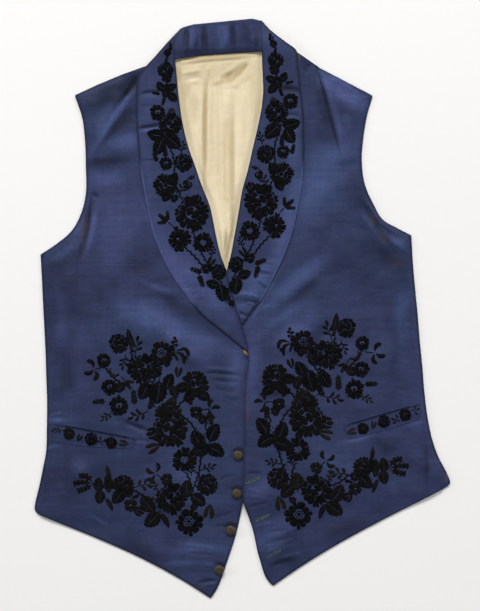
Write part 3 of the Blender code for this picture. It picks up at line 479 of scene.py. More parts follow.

# Patches of painted sheen and painted shade on each piece of silk: broad sheens, highlights on folds, and
# shadows beside folds and buttons.
PAINTED_LIGHT_PATCHES = {}
PAINTED_LIGHT_PATCHES["front_right"] = table(
    PaintedLightPatch,
    (-152.7, 229.4, 46, 3.4, 56.6, 0.45), (-148, 234, 44, 9, 56.6, 0.06),
    (-135, 264.5, 17, 2.4, 56, -0.9), (-140, 264, 17, 6, 52, -0.35), (-158, 257, 28, 10, 35, -0.4),
    (-156, 214, 26, 6, 50, -0.35), (-137, 230, 12, 8, 60, -0.25), (-141, 200, 22, 8, 12, 0.5),
    (-164, 175.6, 24, 5.5, 5, -0.42), (-162, 154, 22, 9, 5, 0.45), (-184, 112, 22, 1.6, 83, -0.35),
    (-188.5, 89, 32, 2.6, 75, -0.2), (-181, 92, 26, 3, 77, 0.35), (-198, 92, 18, 4, 60, 0.25),
    (-216, 67, 22, 6, 30, 0.25), (-146, 108, 32, 24, 0, 0.25), (-152, 70, 24, 20, 90, 0.15),
    (-121, 56, 18, 18, 90, -0.15), (-102, 25, 16, 3.6, -20, 0.4), (-86, 9, 20, 7, -35, -0.25),
    (-136, -2, 32, 17, -12, 0.2), (-70, -28, 62, 10, -24, 0.42), (-40, -19, 30, 5.5, -42, -0.12),
    (-8, -72, 9, 26, 0, 0.3), (-226, 10, 76, 26, 90, -0.16), (-205, -195, 60, 42, 0, -0.16),
    (-122, -292, 42, 9, -27, -0.2), (-50, -288, 30, 6, 3, 0.3), (-5, -170, 5, 2.2, 0, -1),
    (-7, -215.5, 6, 2.2, 0, -0.8), (-14.5, -260, 6, 2.2, 0, -1), (-26, -307.5, 5, 2, -20, -0.8),
    (-76, -306, 22, 4, 3, 0.3), (-172, -254, 10, 2, -35, 0.3), (-223, -134, 10, 3, 0, 0.5),
    (-228, -166, 9, 2.4, 12, 0.35), (-127, -140, 16, 2, -22, -0.45), (-171, 10, 26, 22, 0, -0.16),
    (-207, -186, 26, 22, 0, 0.04), (-207, -38, 22, 22, 0, 0.1), (-64.5, 12.5, 17, 1.7, -51.5, 0.45),
    (-105, 88, 44, 1.6, -68, 0.3), (-122, -146, 15, 2.6, -22, 0.12),
)
PAINTED_LIGHT_PATCHES["front_left"] = table(
    PaintedLightPatch,
    (122, 259, 28, 9, -38, 0.95), (103, 236, 46, 1.5, -75.3, -0.5), (99, 234, 42, 6, -75.3, -0.2),
    (93, 212, 28, 8, -78, -0.12), (110, 184, 24, 13, 10, 0.4), (95, 154, 24, 20, 0, 0.4),
    (78, 122, 24, 17, 70, 0.32), (141, 130, 14, 15, 0, -0.2), (158.5, 103, 13, 1.6, -54, -0.4),
    (150.5, 103, 17, 2.4, -54, 0.2), (179, 78, 22, 2, -38, -0.15), (186.5, 80, 9, 5, -20, 0.25),
    (176, 60, 24, 9, -30, -0.2), (62, 31, 44, 9, 41, 0.48), (77, 24, 30, 6, 38, -0.25),
    (46, -12, 28, 6, 36, 0.25), (136, 52, 40, 30, 0, -0.1), (12, -72, 40, 8, 85, 0.25),
    (22, -213, 16, 7, 25, 0.3), (34, -272, 26, 12, 25, 0.3), (60, -268, 16, 2, 15, -0.2),
    (50, -284, 18, 2, 25, -0.2), (42, -306, 16, 2, 30, -0.15), (36, -314, 22, 9, 30, -0.06),
    (139, -157, 20, 2.6, 14, 0.35), (206, -138, 12, 3, 10, 0.3), (221, -200, 14, 2.2, 88, -0.14),
    (116, -268, 60, 12, 28, -0.1), (57, -302, 18, 12, 0, -0.12), (177, -50, 22, 22, 0, 0.12),
    (105, 34, 22, 18, 0, 0.08), (27.5, 14.9, 30, 1.7, 59.8, 0.4), (28, 2, 8, 2, 33, 0.25),
)
PAINTED_LIGHT_PATCHES["collar_right"] = table(
    PaintedLightPatch,
    (-112, 240, 30, 16, 90, 0.15), (-113, 217.8, 14, 1.7, 10, -0.6), (-113, 213.6, 13, 1.8, 10, 0.3),
    (-110, 258.6, 13, 1.5, 4, -0.4), (-110, 254, 12, 2, 4, 0.2), (-80, 55, 44, 20, -58, 0.42),
    (-30, 8, 26, 12, -50, 0.3), (-112, 150, 50, 6, 96, 0.12), (-75, 22, 18, 12, -50, 0.34),
    (-88, 314, 16, 8, 60, -0.3),
)
PAINTED_LIGHT_PATCHES["collar_left"] = table(
    PaintedLightPatch,
    (58, 262, 12, 3, -5, -0.7), (50, 250, 24, 8, 90, -0.15), (60, 200, 40, 8, 90, 0.35),
    (56, 110, 50, 12, 72, 0.45), (20, 36, 36, 12, 52, 0.35), (2, 4, 24, 9, 45, 0.2),
    (8, 9, 14, 3.2, -8, -0.5), (38, 322, 20, 9, -55, 0.1),
)
PAINTED_LIGHT_PATCHES["collar_back"] = table(
    PaintedLightPatch,
    (-66, 320, 16, 3, 88, -0.4), (-60, 324, 12, 3, 86, 0.35), (-55, 318, 8, 1.6, 80, -0.3),
    (-45.5, 320, 17, 3.2, 92, -0.45), (-30, 327, 12, 5, 84, 0.35), (-22, 321, 12, 4, 74, 0.4),
    (-11, 326, 15, 2.4, 94, -0.4), (6, 328, 12, 7, 90, -0.15), (17, 318, 12, 3, 90, -0.25),
    (-30, 307.5, 60, 3, 3, -0.35),
)

BUTTONHOLES = table(
    Slit,
    (4.8, -209.5, 19.6, -203.3), (17, -254.8, 30.6, -248.6), (29.9, -298.8, 44.6, -290.9),
)
FRAYS = table(Fray, (1.2, -50.5, 8, -48, 26, 12))


# ---------------------------------------------------------------- sizes of the finer forms

# A crease fades over this share of its length at either end, and its height wavers by this share.
CREASE_TAPER = 0.3
CREASE_UNEVEN = 0.25
CREASE_WAVES = 7.0
# A swell is a sum of waves, whose lengths are drawn from these shares of its scale.
COCKLE_WAVES = 14
COCKLE_LENGTHS = (0.7, 2.0)
COCKLE_PHASES = (0.0, 6.3)

# Spacing of the grids, and about how wide each piece is across its rows.
CLOTH_STEP = 2.0
COLLAR_STEP = 1.6
FRONT_WIDTH = 240.0
COLLAR_WIDTH = 66.0
BAND_WIDTH = 102.0
BAND_GRID_ROWS = 21
LINING_GRID_ROWS = 150
LINING_GRID_COLUMNS = 116
BACK_GRID_ROWS = 90
BACK_GRID_COLUMNS = 80
END_CROWDING = 0.6

# The rim of a piece bulges outward between its two sides, and painted shade darkens the silk near it.
RIM_STEPS = 4
RIM_BULGE = 0.7
RIM_ROUND = 0.7
RIM_REACH = 1.5
RIM_PAINTED_SHADE = -0.22
# Creases are also painted darker in their troughs and lighter on their ridges, by this share of their
# height.
CREASE_PAINTED_LIGHT = 0.17

# How deep the hollows of a front and of the collar may go.
FRONT_HOLLOW = 1.5
COLLAR_HOLLOW = 1.1
# The thickness of each piece, its swells, as height, wave length and seed, how deep its hollows may go,
# and the pieces that lie on it.
FORMS = {
    "front_right": (
        FRONT_THICK,
        ((0.2, 26.0, 11), (0.07, 9.0, 12)),
        FRONT_HOLLOW,
        ("collar_right", "front_left", "welt_right"),
    ),
    "front_left": (
        FRONT_THICK,
        ((0.2, 26.0, 21), (0.07, 9.0, 22)),
        FRONT_HOLLOW,
        ("collar_left", "welt_left"),
    ),
    "collar_right": (COLLAR_THICK, ((0.1, 16.0, 31),), COLLAR_HOLLOW, ("front_left",)),
    "collar_left": (COLLAR_THICK, ((0.1, 16.0, 41),), COLLAR_HOLLOW),
    "collar_back": (BAND_THICK, ((0.12, 14.0, 51),), COLLAR_HOLLOW),
}
LINING_SWELL = (0.12, 12.0, 61)
WELT_SWELL = (0.08, 12.0, 71)
# The lining is never thinner than this share, and grows full from this far below the band on.
LINING_LEAST = 0.5
BAND_CLEAR = 1.0
BAND_FADE = 4.0
# Over this distance round a piece that lies on it, cloth grows flat.
COVER_FADE = 5.0
# A stain or a patch of painted shade starts this far out, in shares of its radius.
STAIN_AND_SHADE_REACH = 1.35
TUBE_SIDES = 8

# Pads of pile: stations along one, places across it, and profiles of its half width.
STATIONS = 9
SHARES = np.linspace(0.0, 1.0, STATIONS)
ACROSS = np.array((-1.0, -0.72, 0.0, 0.72, 1.0))
OVAL = np.sqrt(np.sin(np.pi * SHARES).clip(0.0))
DROP = np.sin(np.pi * SHARES**1.5).clip(0.0) ** 0.6
EVEN = np.minimum(1.0, 6.0 * np.minimum(SHARES, 1.0 - SHARES)) ** 0.5
# The stations of a leaf, with a notch at every other one.
TOOTHED = np.array((0.0, 0.13, 0.16, 0.3, 0.33, 0.47, 0.5, 0.64, 0.67, 0.8, 0.83, 0.93, 1.0))
# A broad petal: where its stations and the places across it lie, and how far its tip reaches at each
# of these places: in one lobe, in two, or nearly even.
ALONG = np.array((0.0, 0.08, 0.25, 0.42, 0.58, 0.72, 0.85, 0.95, 1.0))
SPREAD = np.array((-1.0, -0.82, -0.42, 0.0, 0.42, 0.82, 1.0))
TIPS = {
    1: np.array((0.80, 0.92, 0.99, 1.0, 0.99, 0.92, 0.80)),
    2: np.array((0.82, 0.96, 1.0, 0.88, 1.0, 0.96, 0.82)),
    4: np.array((0.93, 0.99, 0.98, 1.0, 0.98, 0.99, 0.93)),
}
# How much shorter the shortest petals of a ring are than its longest.
PETAL_UNEVEN = 0.14
INNER_UNEVEN = 0.03
# From this share of a ring on, its petals lap over what lies inside it, by this much.
JOINED_FROM = 0.55
JOINED_LAP = 0.9
# A joined petal leaves at least this share of the hole free, and every petal has at least this reach and
# this half turn, in radians.
LEAST_HOLE = 0.4
LEAST_REACH = 0.3
LEAST_TURN = 0.04
# How far the angles between petals stray, and by how many radians this wave and that of their reach
# move on from one petal to the next.
PETAL_WANDER = 0.24
WANDER_STEP = 2.1
REACH_STEP = 2.4
# How fast the ground between petals opens toward their tips.
PARTING = 5.0
# A leaf is bent by this share of its size. It is broadest a little before its middle, its sides are
# rounded, and its outer edge is swept forward, by these powers and shares.
LEAF_BEND = 0.1
LEAF_BROADEST = 0.8
LEAF_ROUND = 0.7
LEAF_SWEEP = 0.12
LEAF_SWEPT_FROM = 0.4
# Each half reaches at least this far beyond its vein.
LEAF_LEAST = 0.1
# Small dots in a ring are narrower than long.
DOT_NARROW = 0.9
LEAST_HALF = 0.05
# Stations of a pad before, at and after its middle, and a place across it, which tell its direction.
PAD_PROBES = (3, 4, 5)
PAD_COLUMN = 3
PAD_SINK = 0.12
# The first row of places inside a pad's rim rises to this share of its height.
PAD_RIM = 0.85
# A narrow pad is lower: the share of the full height that one without breadth has, and its gain for
# each millimetre of breadth.
PAD_NARROW = 0.5
PAD_GAIN = 0.2
PILE_WORN = 0.45
# Ground that shows between petals, and along the vein of a leaf at its stalk and at its tip.
VOID = 0.26
VEIN = 0.34
GROOVE = 0.14
STALK_HALF = 0.65
STEM_HALF = 0.9
# Buds along a stem: the gap between them, how far each reaches from it, and its half width.
BUD_GAP = 3.4
BUD_REACH = (0.2, 1.3, 2.4)
BUD_HALF = 0.8
PILE_HEIGHT = 0.75

# The left side of the pattern is the mirror image of the right, turned and moved by this much.
SPRAY_TILT = 7.1
SPRAY_MOVE = (-28.3, 0.7)
LAPEL_TILT = 3.8
LAPEL_MOVE = (-31.9, 9.3)

# The side of each half, as a sign: the wearer's right lies on -X.
HANDS = {"right": 1.0, "left": -1.0}
LINING_BULGE = 0.3
BACK_BULGE = 0.4
# From this row down the closure is bound.
CLOSURE_ROW = 12.5
BINDING_PROUD = 0.2
BINDING_RADIUS = 0.85
EDGING_RADIUS = 0.6
EDGING_PROUD = 0.3
# The edging of the collar lies at this share of the cloth's thickness.
EDGING_SHARE = 0.6
STITCH_INSET = 2.0
# The gap between stitches, their length, and their half width, which is also their height.
COLLAR_STITCH = (3.2, 1.6, 0.22)
WELT_STITCH = (3.0, 1.5, 0.2)
# Between these heights the seam of a lapel gets a painted highlight, which fades over these distances.
SEAM_LIT = (0.0, 185.0)
SEAM_LIT_FADE = (12.0, 30.0)
# The painted shade and the painted highlight of the seam.
SEAM_PAINTED_LIGHT = (-0.4, 0.55)

WELT_WIDTH = 92.0
WELT_DEPTH = 16.0
# A plain line along a welt takes one in this many of its places.
WELT_SKIP = 22
# How far the painted shade of the pocket's mouth lies above the welt, its half width and its height.
WELT_MOUTH_SHADE = (1.3, 0.8, 0.25)
# A welt grows from this share of its thickness to the whole over this distance from its seam.
WELT_THIN = 0.12
WELT_SLOPE = 8.0
# The fold along a welt's upper edge stands this high, and its seam lies at this share of the depth.
WELT_EDGE = 1.0
WELT_SEAM = 0.1

# Stitches along each side of a buttonhole: where one starts and has its middle, and how far it reaches.
HOLE_STITCHES = 15
HOLE_BAR = (0.35, 0.95)
HOLE_REACH = (1.2, 1.9)
HOLE_HALF = 0.42
HOLE_HEIGHT = 0.45
# The longer stitches at its ends: their leans, how far the straight one reaches, how much less the
# others do and how far aside they go, for a lean of 1, and their half width.
END_LEANS = (-0.7, 0.0, 0.7)
END_REACH = 1.5
END_SHORTER = 0.5
END_ASIDE = 1.3
END_HALF = 0.4
SLIT_HALF = 0.5
SLIT_HEIGHT = 0.12
FRAY_HALF = 0.32
FRAY_HEIGHT = 0.3
# Each strand leans off its place in the fan by up to this many degrees, starts and bends by up to these
# distances, and has a length between these shares.
FRAY_LEAN = 3.0
FRAY_START = 0.6
FRAY_BEND = 0.4
FRAY_LENGTHS = (0.55, 1.0)
BUTTON_AROUND = 72
# The thread's ribs on a button: their number and height, how far they wind, in radians, from which
# share of the radius they grow and over what share, how much of their height shows sideways, and up to
# which share of the height its foot is plain.
BUTTON_WRAPS = 18
BUTTON_RIB = 0.03
BUTTON_WIND = 2.2
BUTTON_BOSS = 0.15
BUTTON_GROW = 0.3
BUTTON_SIDEWAYS = 0.4
BUTTON_FOOT = 0.2
# Share of the radius and of the height, from the base up to the crown.
BUTTON_PROFILE = [
    (0.60, 0.0), (0.90, 0.06), (1.00, 0.28), (0.99, 0.42), (0.93, 0.60), (0.82, 0.75), (0.68, 0.86),
    (0.52, 0.93), (0.36, 0.965), (0.24, 0.95), (0.17, 0.93), (0.13, 0.98), (0.06, 1.0),
]

# Cloudy values mostly lie between these.
CLOUDS = (0.3, 0.7)
SHEEN_ROUGHNESS = 0.4
SILK_SPECULAR = 0.22
SILK_MIDDLE = 0.4

# The stage, in metres and watts.
FLOOR_HALF = 6.0
FLOOR_Z = -0.0004
WORLD_LIGHT = 0.33
LIGHTS = [
    ("key_light", (-0.7, 3.7, 3.4), 2.4, 194.0),
    ("fill_light", (4.6, 2.2, 3.0), 2.0, 70.0),
    ("side_light", (-5.5, 0.8, 2.2), 1.8, 62.0),
]
SENSOR = 36.0
CAMERA_HEIGHT = 3.0
VIEW_TALL = 0.7332
VIEW_X = -0.00309
VIEW_Y = 0.0036


# ---------------------------------------------------------------- lines and curves


def smooth(value):
    """A soft step from 0 to 1."""
    value = np.clip(value, 0.0, 1.0)
    return value * value * (3.0 - 2.0 * value)


def mix(first, second, share):
    return first + (second - first) * share


def arch(share):
    """A curve that rises from 0 at either end to 1 in the middle."""
    return 4.0 * share * (1.0 - share)


def unit(vectors):
    return vectors / np.maximum(np.linalg.norm(vectors, axis=-1, keepdims=True), 1e-9)


def heading(degrees):
    turn = np.radians(degrees)
    return np.array((np.cos(turn), np.sin(turn)))


class Curve:
    """A smooth line through points, with corners kept, read at row numbers. It is the source's own."""

    def __init__(self, points, corners=()):
        self.points = np.array(points, float)
        self.last = len(self.points) - 1
        leaving, arriving = [], []
        for start in range(self.last):
            end = start + 1
            before = start if start == 0 or start in corners else start - 1
            after = end if end == self.last or end in corners else end + 1
            span = np.linalg.norm(self.points[end] - self.points[start])
            leaving.append(self.tangent(before, start, end) * span)
            arriving.append(self.tangent(start, end, after) * span)
        self.leaving, self.arriving = np.array(leaving), np.array(arriving)

    def tangent(self, before, here, after):
        """Direction of the line at a point, leaning to its nearer neighbour."""
        back, ahead = self.points[here] - self.points[before], self.points[after] - self.points[here]
        lean = np.zeros(2)
        for run in (back, ahead):
            length = np.linalg.norm(run)
            if length > 0.0:
                lean += run / length**2
        return unit(lean)

    def at(self, rows):
        rows = np.asarray(rows, float)
        start = np.minimum(rows.astype(int), self.last - 1)
        share = (rows - start)[..., None]
        square, cube = share**2, share**3
        return (
            self.points[start] * (2 * cube - 3 * square + 1)
            + self.leaving[start] * (cube - 2 * square + share)
            + self.points[start + 1] * (3 * square - 2 * cube)
            + self.arriving[start] * (cube - square)
        )


def side_points(sections, side):
    return np.array([(getattr(row, side + "_x"), getattr(row, side + "_y")) for row in sections], float)


def edge(sections, side):
    """The inner or outer edge of a piece, as a curve."""
    return Curve(side_points(sections, side), {at for at, row in enumerate(sections) if row.turn == side})


def along(places, share):
    """The points at these shares of the length of a line of places."""
    points = np.array(places, float)
    reached = np.concatenate([[0.0], np.cumsum(np.linalg.norm(np.diff(points, axis=0), axis=1))])
    wanted = share * reached[-1]
    return np.stack([np.interp(wanted, reached, points[:, axis]) for axis in (0, 1)], axis=-1)


def bow(places, share):
    """How far a line of places stands off its own chord."""
    first, last = np.array(places[0], float), np.array(places[-1], float)
    return along(places, share) - (first + (last - first) * share[..., None])


def nearest(line, xy):
    """Distance from each point to a line, and on which side it lies: above is positive."""
    line = np.array(line, float)
    best = np.full(xy.shape[:-1], np.inf)
    side = np.ones(xy.shape[:-1])
    for start, end in zip(line, line[1:]):
        run, away = end - start, xy - start
        share = np.clip(away @ run / (run @ run), 0.0, 1.0)
        distance = np.linalg.norm(away - share[..., None] * run, axis=-1)
        nearer = distance < best
        best = np.where(nearer, distance, best)
        turn = run[0] * away[..., 1] - run[1] * away[..., 0]
        side = np.where(nearer, np.where(turn < 0.0, -1.0, 1.0), side)
    return best, side


def clear_of(polygon, xy):
    """How far outside a closed outline each point lies, and 0 inside it."""
    polygon = np.array(polygon, float)
    covered = np.zeros(xy.shape[:-1], bool)
    for (x0, y0), (x1, y1) in zip(polygon, np.roll(polygon, -1, axis=0)):
        if y0 == y1:
            continue
        crossing = x0 + (xy[..., 1] - y0) * (x1 - x0) / (y1 - y0)
        covered ^= ((y0 > xy[..., 1]) != (y1 > xy[..., 1])) & (xy[..., 0] < crossing)
    return np.where(covered, 0.0, nearest(np.vstack([polygon, polygon[:1]]), xy)[0])


# ---------------------------------------------------------------- how high each layer lies

EDGES = {name: (edge(rows, "inner"), edge(rows, "outer")) for name, rows in OUTLINES.items()}
BACK_HEM = [EDGES[name][1].at(BACK_LAST_ROW) for name in SHOULDERS]


def roll_line(name):
    """The shoulder and outer edge of a front, where it turns down to the table."""
    outer = EDGES[name][1]
    return np.vstack([SHOULDERS[name][-3:], outer.at(np.arange(1, 2 * outer.last + 1) / 2)])


def outline(name):
    """The closed outline of a front, of half the collar or of a welt."""
    if name in WELTS:
        upper_inner, upper_outer, lower_inner, lower_outer = WELTS[name][:4]
        return [upper_inner, upper_outer, lower_outer, lower_inner]
    inner, outer = EDGES[name]
    rows = np.arange(2 * inner.last + 1) / 2
    return np.vstack([inner.at(rows), outer.at(rows[::-1])])


def fold_height(folds, xy):
    """The height of the source's soft ridges."""
    height = np.zeros(xy.shape[:-1])
    for fold in folds:
        distance = nearest([(fold.x0, fold.y0), (fold.x1, fold.y1)], xy)[0]
        height += fold.height * smooth(1.0 - distance / fold.half_width)
    return height


def crease_height(creases, xy):
    """The height of the fine creases. Each fades at its ends and is uneven along its length."""
    height = np.zeros(xy.shape[:-1])
    for number, crease in enumerate(creases):
        start, end = np.array((crease.x0, crease.y0)), np.array((crease.x1, crease.y1))
        run = end - start
        away = xy - start
        share = away @ run / (run @ run)
        offset = (run[0] * away[..., 1] - run[1] * away[..., 0]) / np.linalg.norm(run)
        offset -= crease.bend * arch(np.clip(share, 0.0, 1.0))
        taper = smooth(share / CREASE_TAPER) * smooth((1.0 - share) / CREASE_TAPER)
        uneven = 1.0 + CREASE_UNEVEN * np.sin(CREASE_WAVES * share + number)
        height += crease.height * taper * uneven * np.exp(-((offset / crease.half_width) ** 2))
    return height


def cockle(xy, height, scale, seed):
    """A low uneven swell, from waves whose headings and lengths are drawn from a seed."""
    draw = np.random.default_rng(seed)
    total = np.zeros(xy.shape[:-1])
    for _ in range(COCKLE_WAVES):
        toward = heading(draw.uniform(0.0, 180.0))
        length = scale * draw.uniform(*COCKLE_LENGTHS)
        total += np.sin(2.0 * np.pi * (xy @ toward) / length + draw.uniform(*COCKLE_PHASES))
    return total * height / np.sqrt(COCKLE_WAVES)


def inner_x(name, height_up):
    """Where the inner edge of a front lies, at this height up the garment."""
    points = side_points(OUTLINES[name], "inner")
    return np.interp(height_up, points[::-1, 1], points[::-1, 0])


def front_rest(name):
    """Height of a front's underside: over the back, down at the edges and below the back's hem."""
    line = roll_line(name)

    def under(xy):
        inward = nearest(line, xy)[0]
        roll = ROLL_HEIGHT * smooth((inward - ROLL_FLAT) / (ROLL_WIDTH - ROLL_FLAT))
        roll += (FRONT_REST - ROLL_HEIGHT) * smooth((inward - ROLL_WIDTH) / (ROLL_FULL - ROLL_WIDTH))
        distance, side = nearest(BACK_HEM, xy)
        roll *= 1.0 - smooth((-side * distance - HEM_FALL_START) / HEM_FALL)
        return roll + fold_height(FOLDS[name], xy)

    return under


def overlap_lift(xy):
    """How far the left front is raised where it laps over the right."""
    up = xy[..., 1]
    height = np.zeros(up.shape)
    for upper, lower in zip(OVERLAP_LIFT, OVERLAP_LIFT[1:]):
        share = smooth((upper.y - up) / (upper.y - lower.y))
        within = (lower.y <= up) & (up <= upper.y)
        height = np.where(within, mix(upper.height, lower.height, share), height)
    past = xy[..., 0] - inner_x("front_right", up) - LIFT_SHELF
    return height * (1.0 - smooth(past / LIFT_FADE))


def collar_rest(xy):
    """Height of the collar's underside: on the fronts, lower at the back neck, and down above it."""
    middle = 0.5 * (BAND_TOP[0][0] + BAND_TOP[-1][0])
    distance, side = nearest(NECK_SEAM, xy)
    fall = 1.0 - smooth((side * distance - NECK_FALL_START) / NECK_FALL)
    at_band = 1.0 - smooth((np.abs(xy[..., 0] - middle) - BAND_FLAT) / BAND_RISE)
    at_band *= 1.0 - smooth((-side * distance - BAND_DEPTH) / BAND_RISE)
    return mix(COLLAR_REST, BAND_REST, at_band) * fall


def lifted(under):
    """An underside on the wearer's left, raised where it laps over the right."""
    return lambda xy: under(xy) + overlap_lift(xy)


def free_of(names, xy):
    """1 where none of these pieces lies on the cloth, and 0 under them."""
    free = np.ones(xy.shape[:-1])
    for name in names:
        free *= smooth(clear_of(outline(name), xy) / COVER_FADE)
    return free


def layer(name, under, thick, swells, deepest, covered=()):
    """The heights of a piece's underside and upper side. The upper side has creases and swells, whose
    hollows stay above a depth so that none cuts through, and lies flat under the pieces on it."""

    def over(xy):
        relief = crease_height(CREASES[name], xy)
        for swell in swells:
            relief = relief + cockle(xy, *swell)
        relief = np.where(relief < 0.0, -deepest * np.tanh(-relief / deepest), relief)
        return under(xy) + thick + relief * free_of(covered, xy)

    return Layer(under, over)


def lining_clear(xy):
    """1 where the lining shows in the V, and 0 near and under what lies on it."""
    left, right = inner_x("front_right", xy[..., 1]), inner_x("front_left", xy[..., 1])
    return smooth((np.minimum(xy[..., 0] - left, right - xy[..., 0]) - PUCKER_CLEAR) / PUCKER_FADE)


def lining_under(xy):
    below_neck = smooth((nearest(NECK_SEAM, xy)[0] - PUCKER_NECK_CLEAR) / PUCKER_FADE)
    return LINING_REST + fold_height(FOLDS["back_lining"], xy) * lining_clear(xy) * below_neck


def lining_over(xy):
    below_band = smooth((nearest(BAND_BOTTOM, xy)[0] - BAND_CLEAR) / BAND_FADE)
    relief = LINING_FULLNESS + crease_height(LINING_CREASES, xy) + cockle(xy, *LINING_SWELL)
    over = lining_under(xy) + LINING_THICK + relief * lining_clear(xy) * below_band
    return np.maximum(over, lining_under(xy) + LINING_LEAST * LINING_THICK)


def welt_layer(front, seam):
    """A welt lies on its front, and is thinner near the seam along its lower edge."""

    def under(xy):
        return front.under(xy) + FRONT_THICK + LAYER_GAP

    def over(xy):
        full = mix(WELT_THIN, 1.0, smooth(nearest(seam, xy)[0] / WELT_SLOPE))
        return under(xy) + WELT_THICK * full + cockle(xy, *WELT_SWELL)

    return Layer(under, over)


RESTS = {
    "front_right": front_rest("front_right"),
    "front_left": lifted(front_rest("front_left")),
    "collar_right": collar_rest,
    "collar_left": lifted(collar_rest),
    "collar_back": collar_rest,
}
LAYERS = {name: layer(name, RESTS[name], *form) for name, form in FORMS.items()}
LAYERS["back_lining"] = Layer(lining_under, lining_over)
LAYERS["back_panel"] = Layer(
    lambda xy: np.zeros(xy.shape[:-1]), lambda xy: np.full(xy.shape[:-1], BACK_THICK)
)


# ---------------------------------------------------------------- meshes


def add_mesh(name, points, faces, finishes, inner_faces=0, marks=()):
    """A piece from points in millimetres. The last inner_faces of its faces take the second finish."""
    points = np.array(points, float)
    points[:, :2] += CENTRE
    mesh = bpy.data.meshes.new(name)
    mesh.from_pydata((points * MM).tolist(), [], faces)
    for finish in finishes:
        mesh.materials.append(finish)
    slots = np.zeros(len(faces), np.int32)
    if inner_faces:
        slots[-inner_faces:] = 1
    mesh.polygons.foreach_set("material_index", slots)
    for mark, values in dict(marks).items():
        layer = mesh.attributes.new(mark, "FLOAT", "POINT")
        layer.data.foreach_set("value", np.array(values, np.float32))
    mesh.shade_smooth()
    mesh.update()
    return link(name, mesh)


def link(name, data):
    """An object in the scene, from a mesh, a lamp or a camera."""
    item = bpy.data.objects.new(name, data)
    bpy.context.scene.collection.objects.link(item)
    return item


def settle(piece, node):
    """A piece rides on the body and stands for its node."""
    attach(piece, BODY)
    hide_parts(node)
    return piece


def oval_axes(mark, xy):
    """How far each point lies from the middle of a stain or a patch of painted light, along it and across
    it.
    """
    away = xy - np.array((mark.x, mark.y))
    return away @ heading(mark.turn), away @ heading(mark.turn + 90.0)


def stain_and_shade_at(stains_and_shade, xy):
    """How stained, worn or painted with shade the cloth is, from 0 to 1."""
    mark_share = np.zeros(xy.shape[:-1])
    for stain_and_shade in stains_and_shade:
        lengthwise, sideways = oval_axes(stain_and_shade, xy)
        reach = np.hypot(lengthwise / stain_and_shade.radius_x, sideways / stain_and_shade.radius_y)
        mark_share = np.maximum(mark_share, stain_and_shade.strength * smooth(STAIN_AND_SHADE_REACH - reach))
    return mark_share


def painted_light_at(patches, xy):
    """How much painted sheen or painted shade the silk has, in place of the way it lies to the light."""
    total = np.zeros(xy.shape[:-1])
    for painted_light in patches:
        lengthwise, sideways = oval_axes(painted_light, xy)
        total += painted_light.strength * np.exp(-((lengthwise / painted_light.length) ** 2 + (sideways / painted_light.width) ** 2))
    return total


def quads(index, closed=False):
    """The quads of a grid of point numbers, whose rows may be closed to rings."""
    if closed:
        index = np.column_stack([index, index[:, :1]])
    corners = (index[:-1, :-1], index[:-1, 1:], index[1:, 1:], index[1:, :-1])
    return np.stack(corners, axis=-1).reshape(-1, 4)


def rim_share(xy):
    """1 at the rim of a grid of places, and 0 away from it."""
    sides = (xy[:, :1], xy[:, -1:], xy[:1], xy[-1:])
    nearest_side = np.min([np.linalg.norm(xy - side, axis=-1) for side in sides], axis=0)
    return np.exp(-((nearest_side / RIM_REACH) ** 2))


def shell(name, xy, finishes, rim_painted_light=0.0, bulge=RIM_BULGE):
    """The cloth of a piece on a grid of places, with an underside, an upper side and a rounded rim."""
    rows, columns = xy.shape[:2]
    count = rows * columns
    tops, bottoms = (np.dstack([xy, side(xy)]).reshape(-1, 3) for side in reversed(LAYERS[name]))
    index = np.arange(count).reshape(rows, columns)
    ring = np.concatenate([index[0, :-1], index[:-1, -1], index[-1, :0:-1], index[:0:-1, 0]])
    line = tops[ring, :2]
    ahead = np.roll(line, -1, axis=0)
    counter_clockwise = np.sum(line[:, 0] * ahead[:, 1] - ahead[:, 0] * line[:, 1]) > 0.0
    run = unit(ahead - np.roll(line, 1, axis=0))
    outward = np.stack([run[:, 1], -run[:, 0]], axis=-1) * (1.0 if counter_clockwise else -1.0)
    rims, numbers = [], [ring]
    for step in range(1, RIM_STEPS):
        share = step / RIM_STEPS
        rim = mix(tops[ring], bottoms[ring], share)
        rim[:, :2] += outward * bulge * np.sin(np.pi * share) ** RIM_ROUND
        rims.append(rim)
        numbers.append(2 * count + (step - 1) * len(ring) + np.arange(len(ring)))
    numbers.append(ring + count)
    upper, lower, around = quads(index), quads(index + count)[:, ::-1], quads(np.array(numbers), True)
    if counter_clockwise:
        around = around[:, ::-1]
    first = tops[upper[0]]
    if np.cross(first[1, :2] - first[0, :2], first[2, :2] - first[1, :2]) < 0.0:
        upper, lower = upper[:, ::-1], lower[:, ::-1]
    points = np.vstack([tops, bottoms] + rims)
    flat = points[:, :2]
    # The painted light of the silk: its patches, a share of its creases' height, and a band along its rim.
    painted_light = painted_light_at(PAINTED_LIGHT_PATCHES.get(name, ()), flat) + CREASE_PAINTED_LIGHT * crease_height(CREASES.get(name, ()), flat)
    near_rim = (rim_painted_light * rim_share(xy)).ravel()
    painted_light += np.concatenate([near_rim, near_rim, np.tile(near_rim[ring], RIM_STEPS - 1)])
    marks = {"stain_and_shade": stain_and_shade_at(STAINS_AND_PAINTED_SHADE.get(name, ()), flat), "painted_light": painted_light}
    faces = np.vstack([upper, around, lower]).tolist()
    inner = len(lower) if len(finishes) > 1 else 0
    return settle(add_mesh(f"{name}_cloth", points, faces, finishes, inner, marks), name)


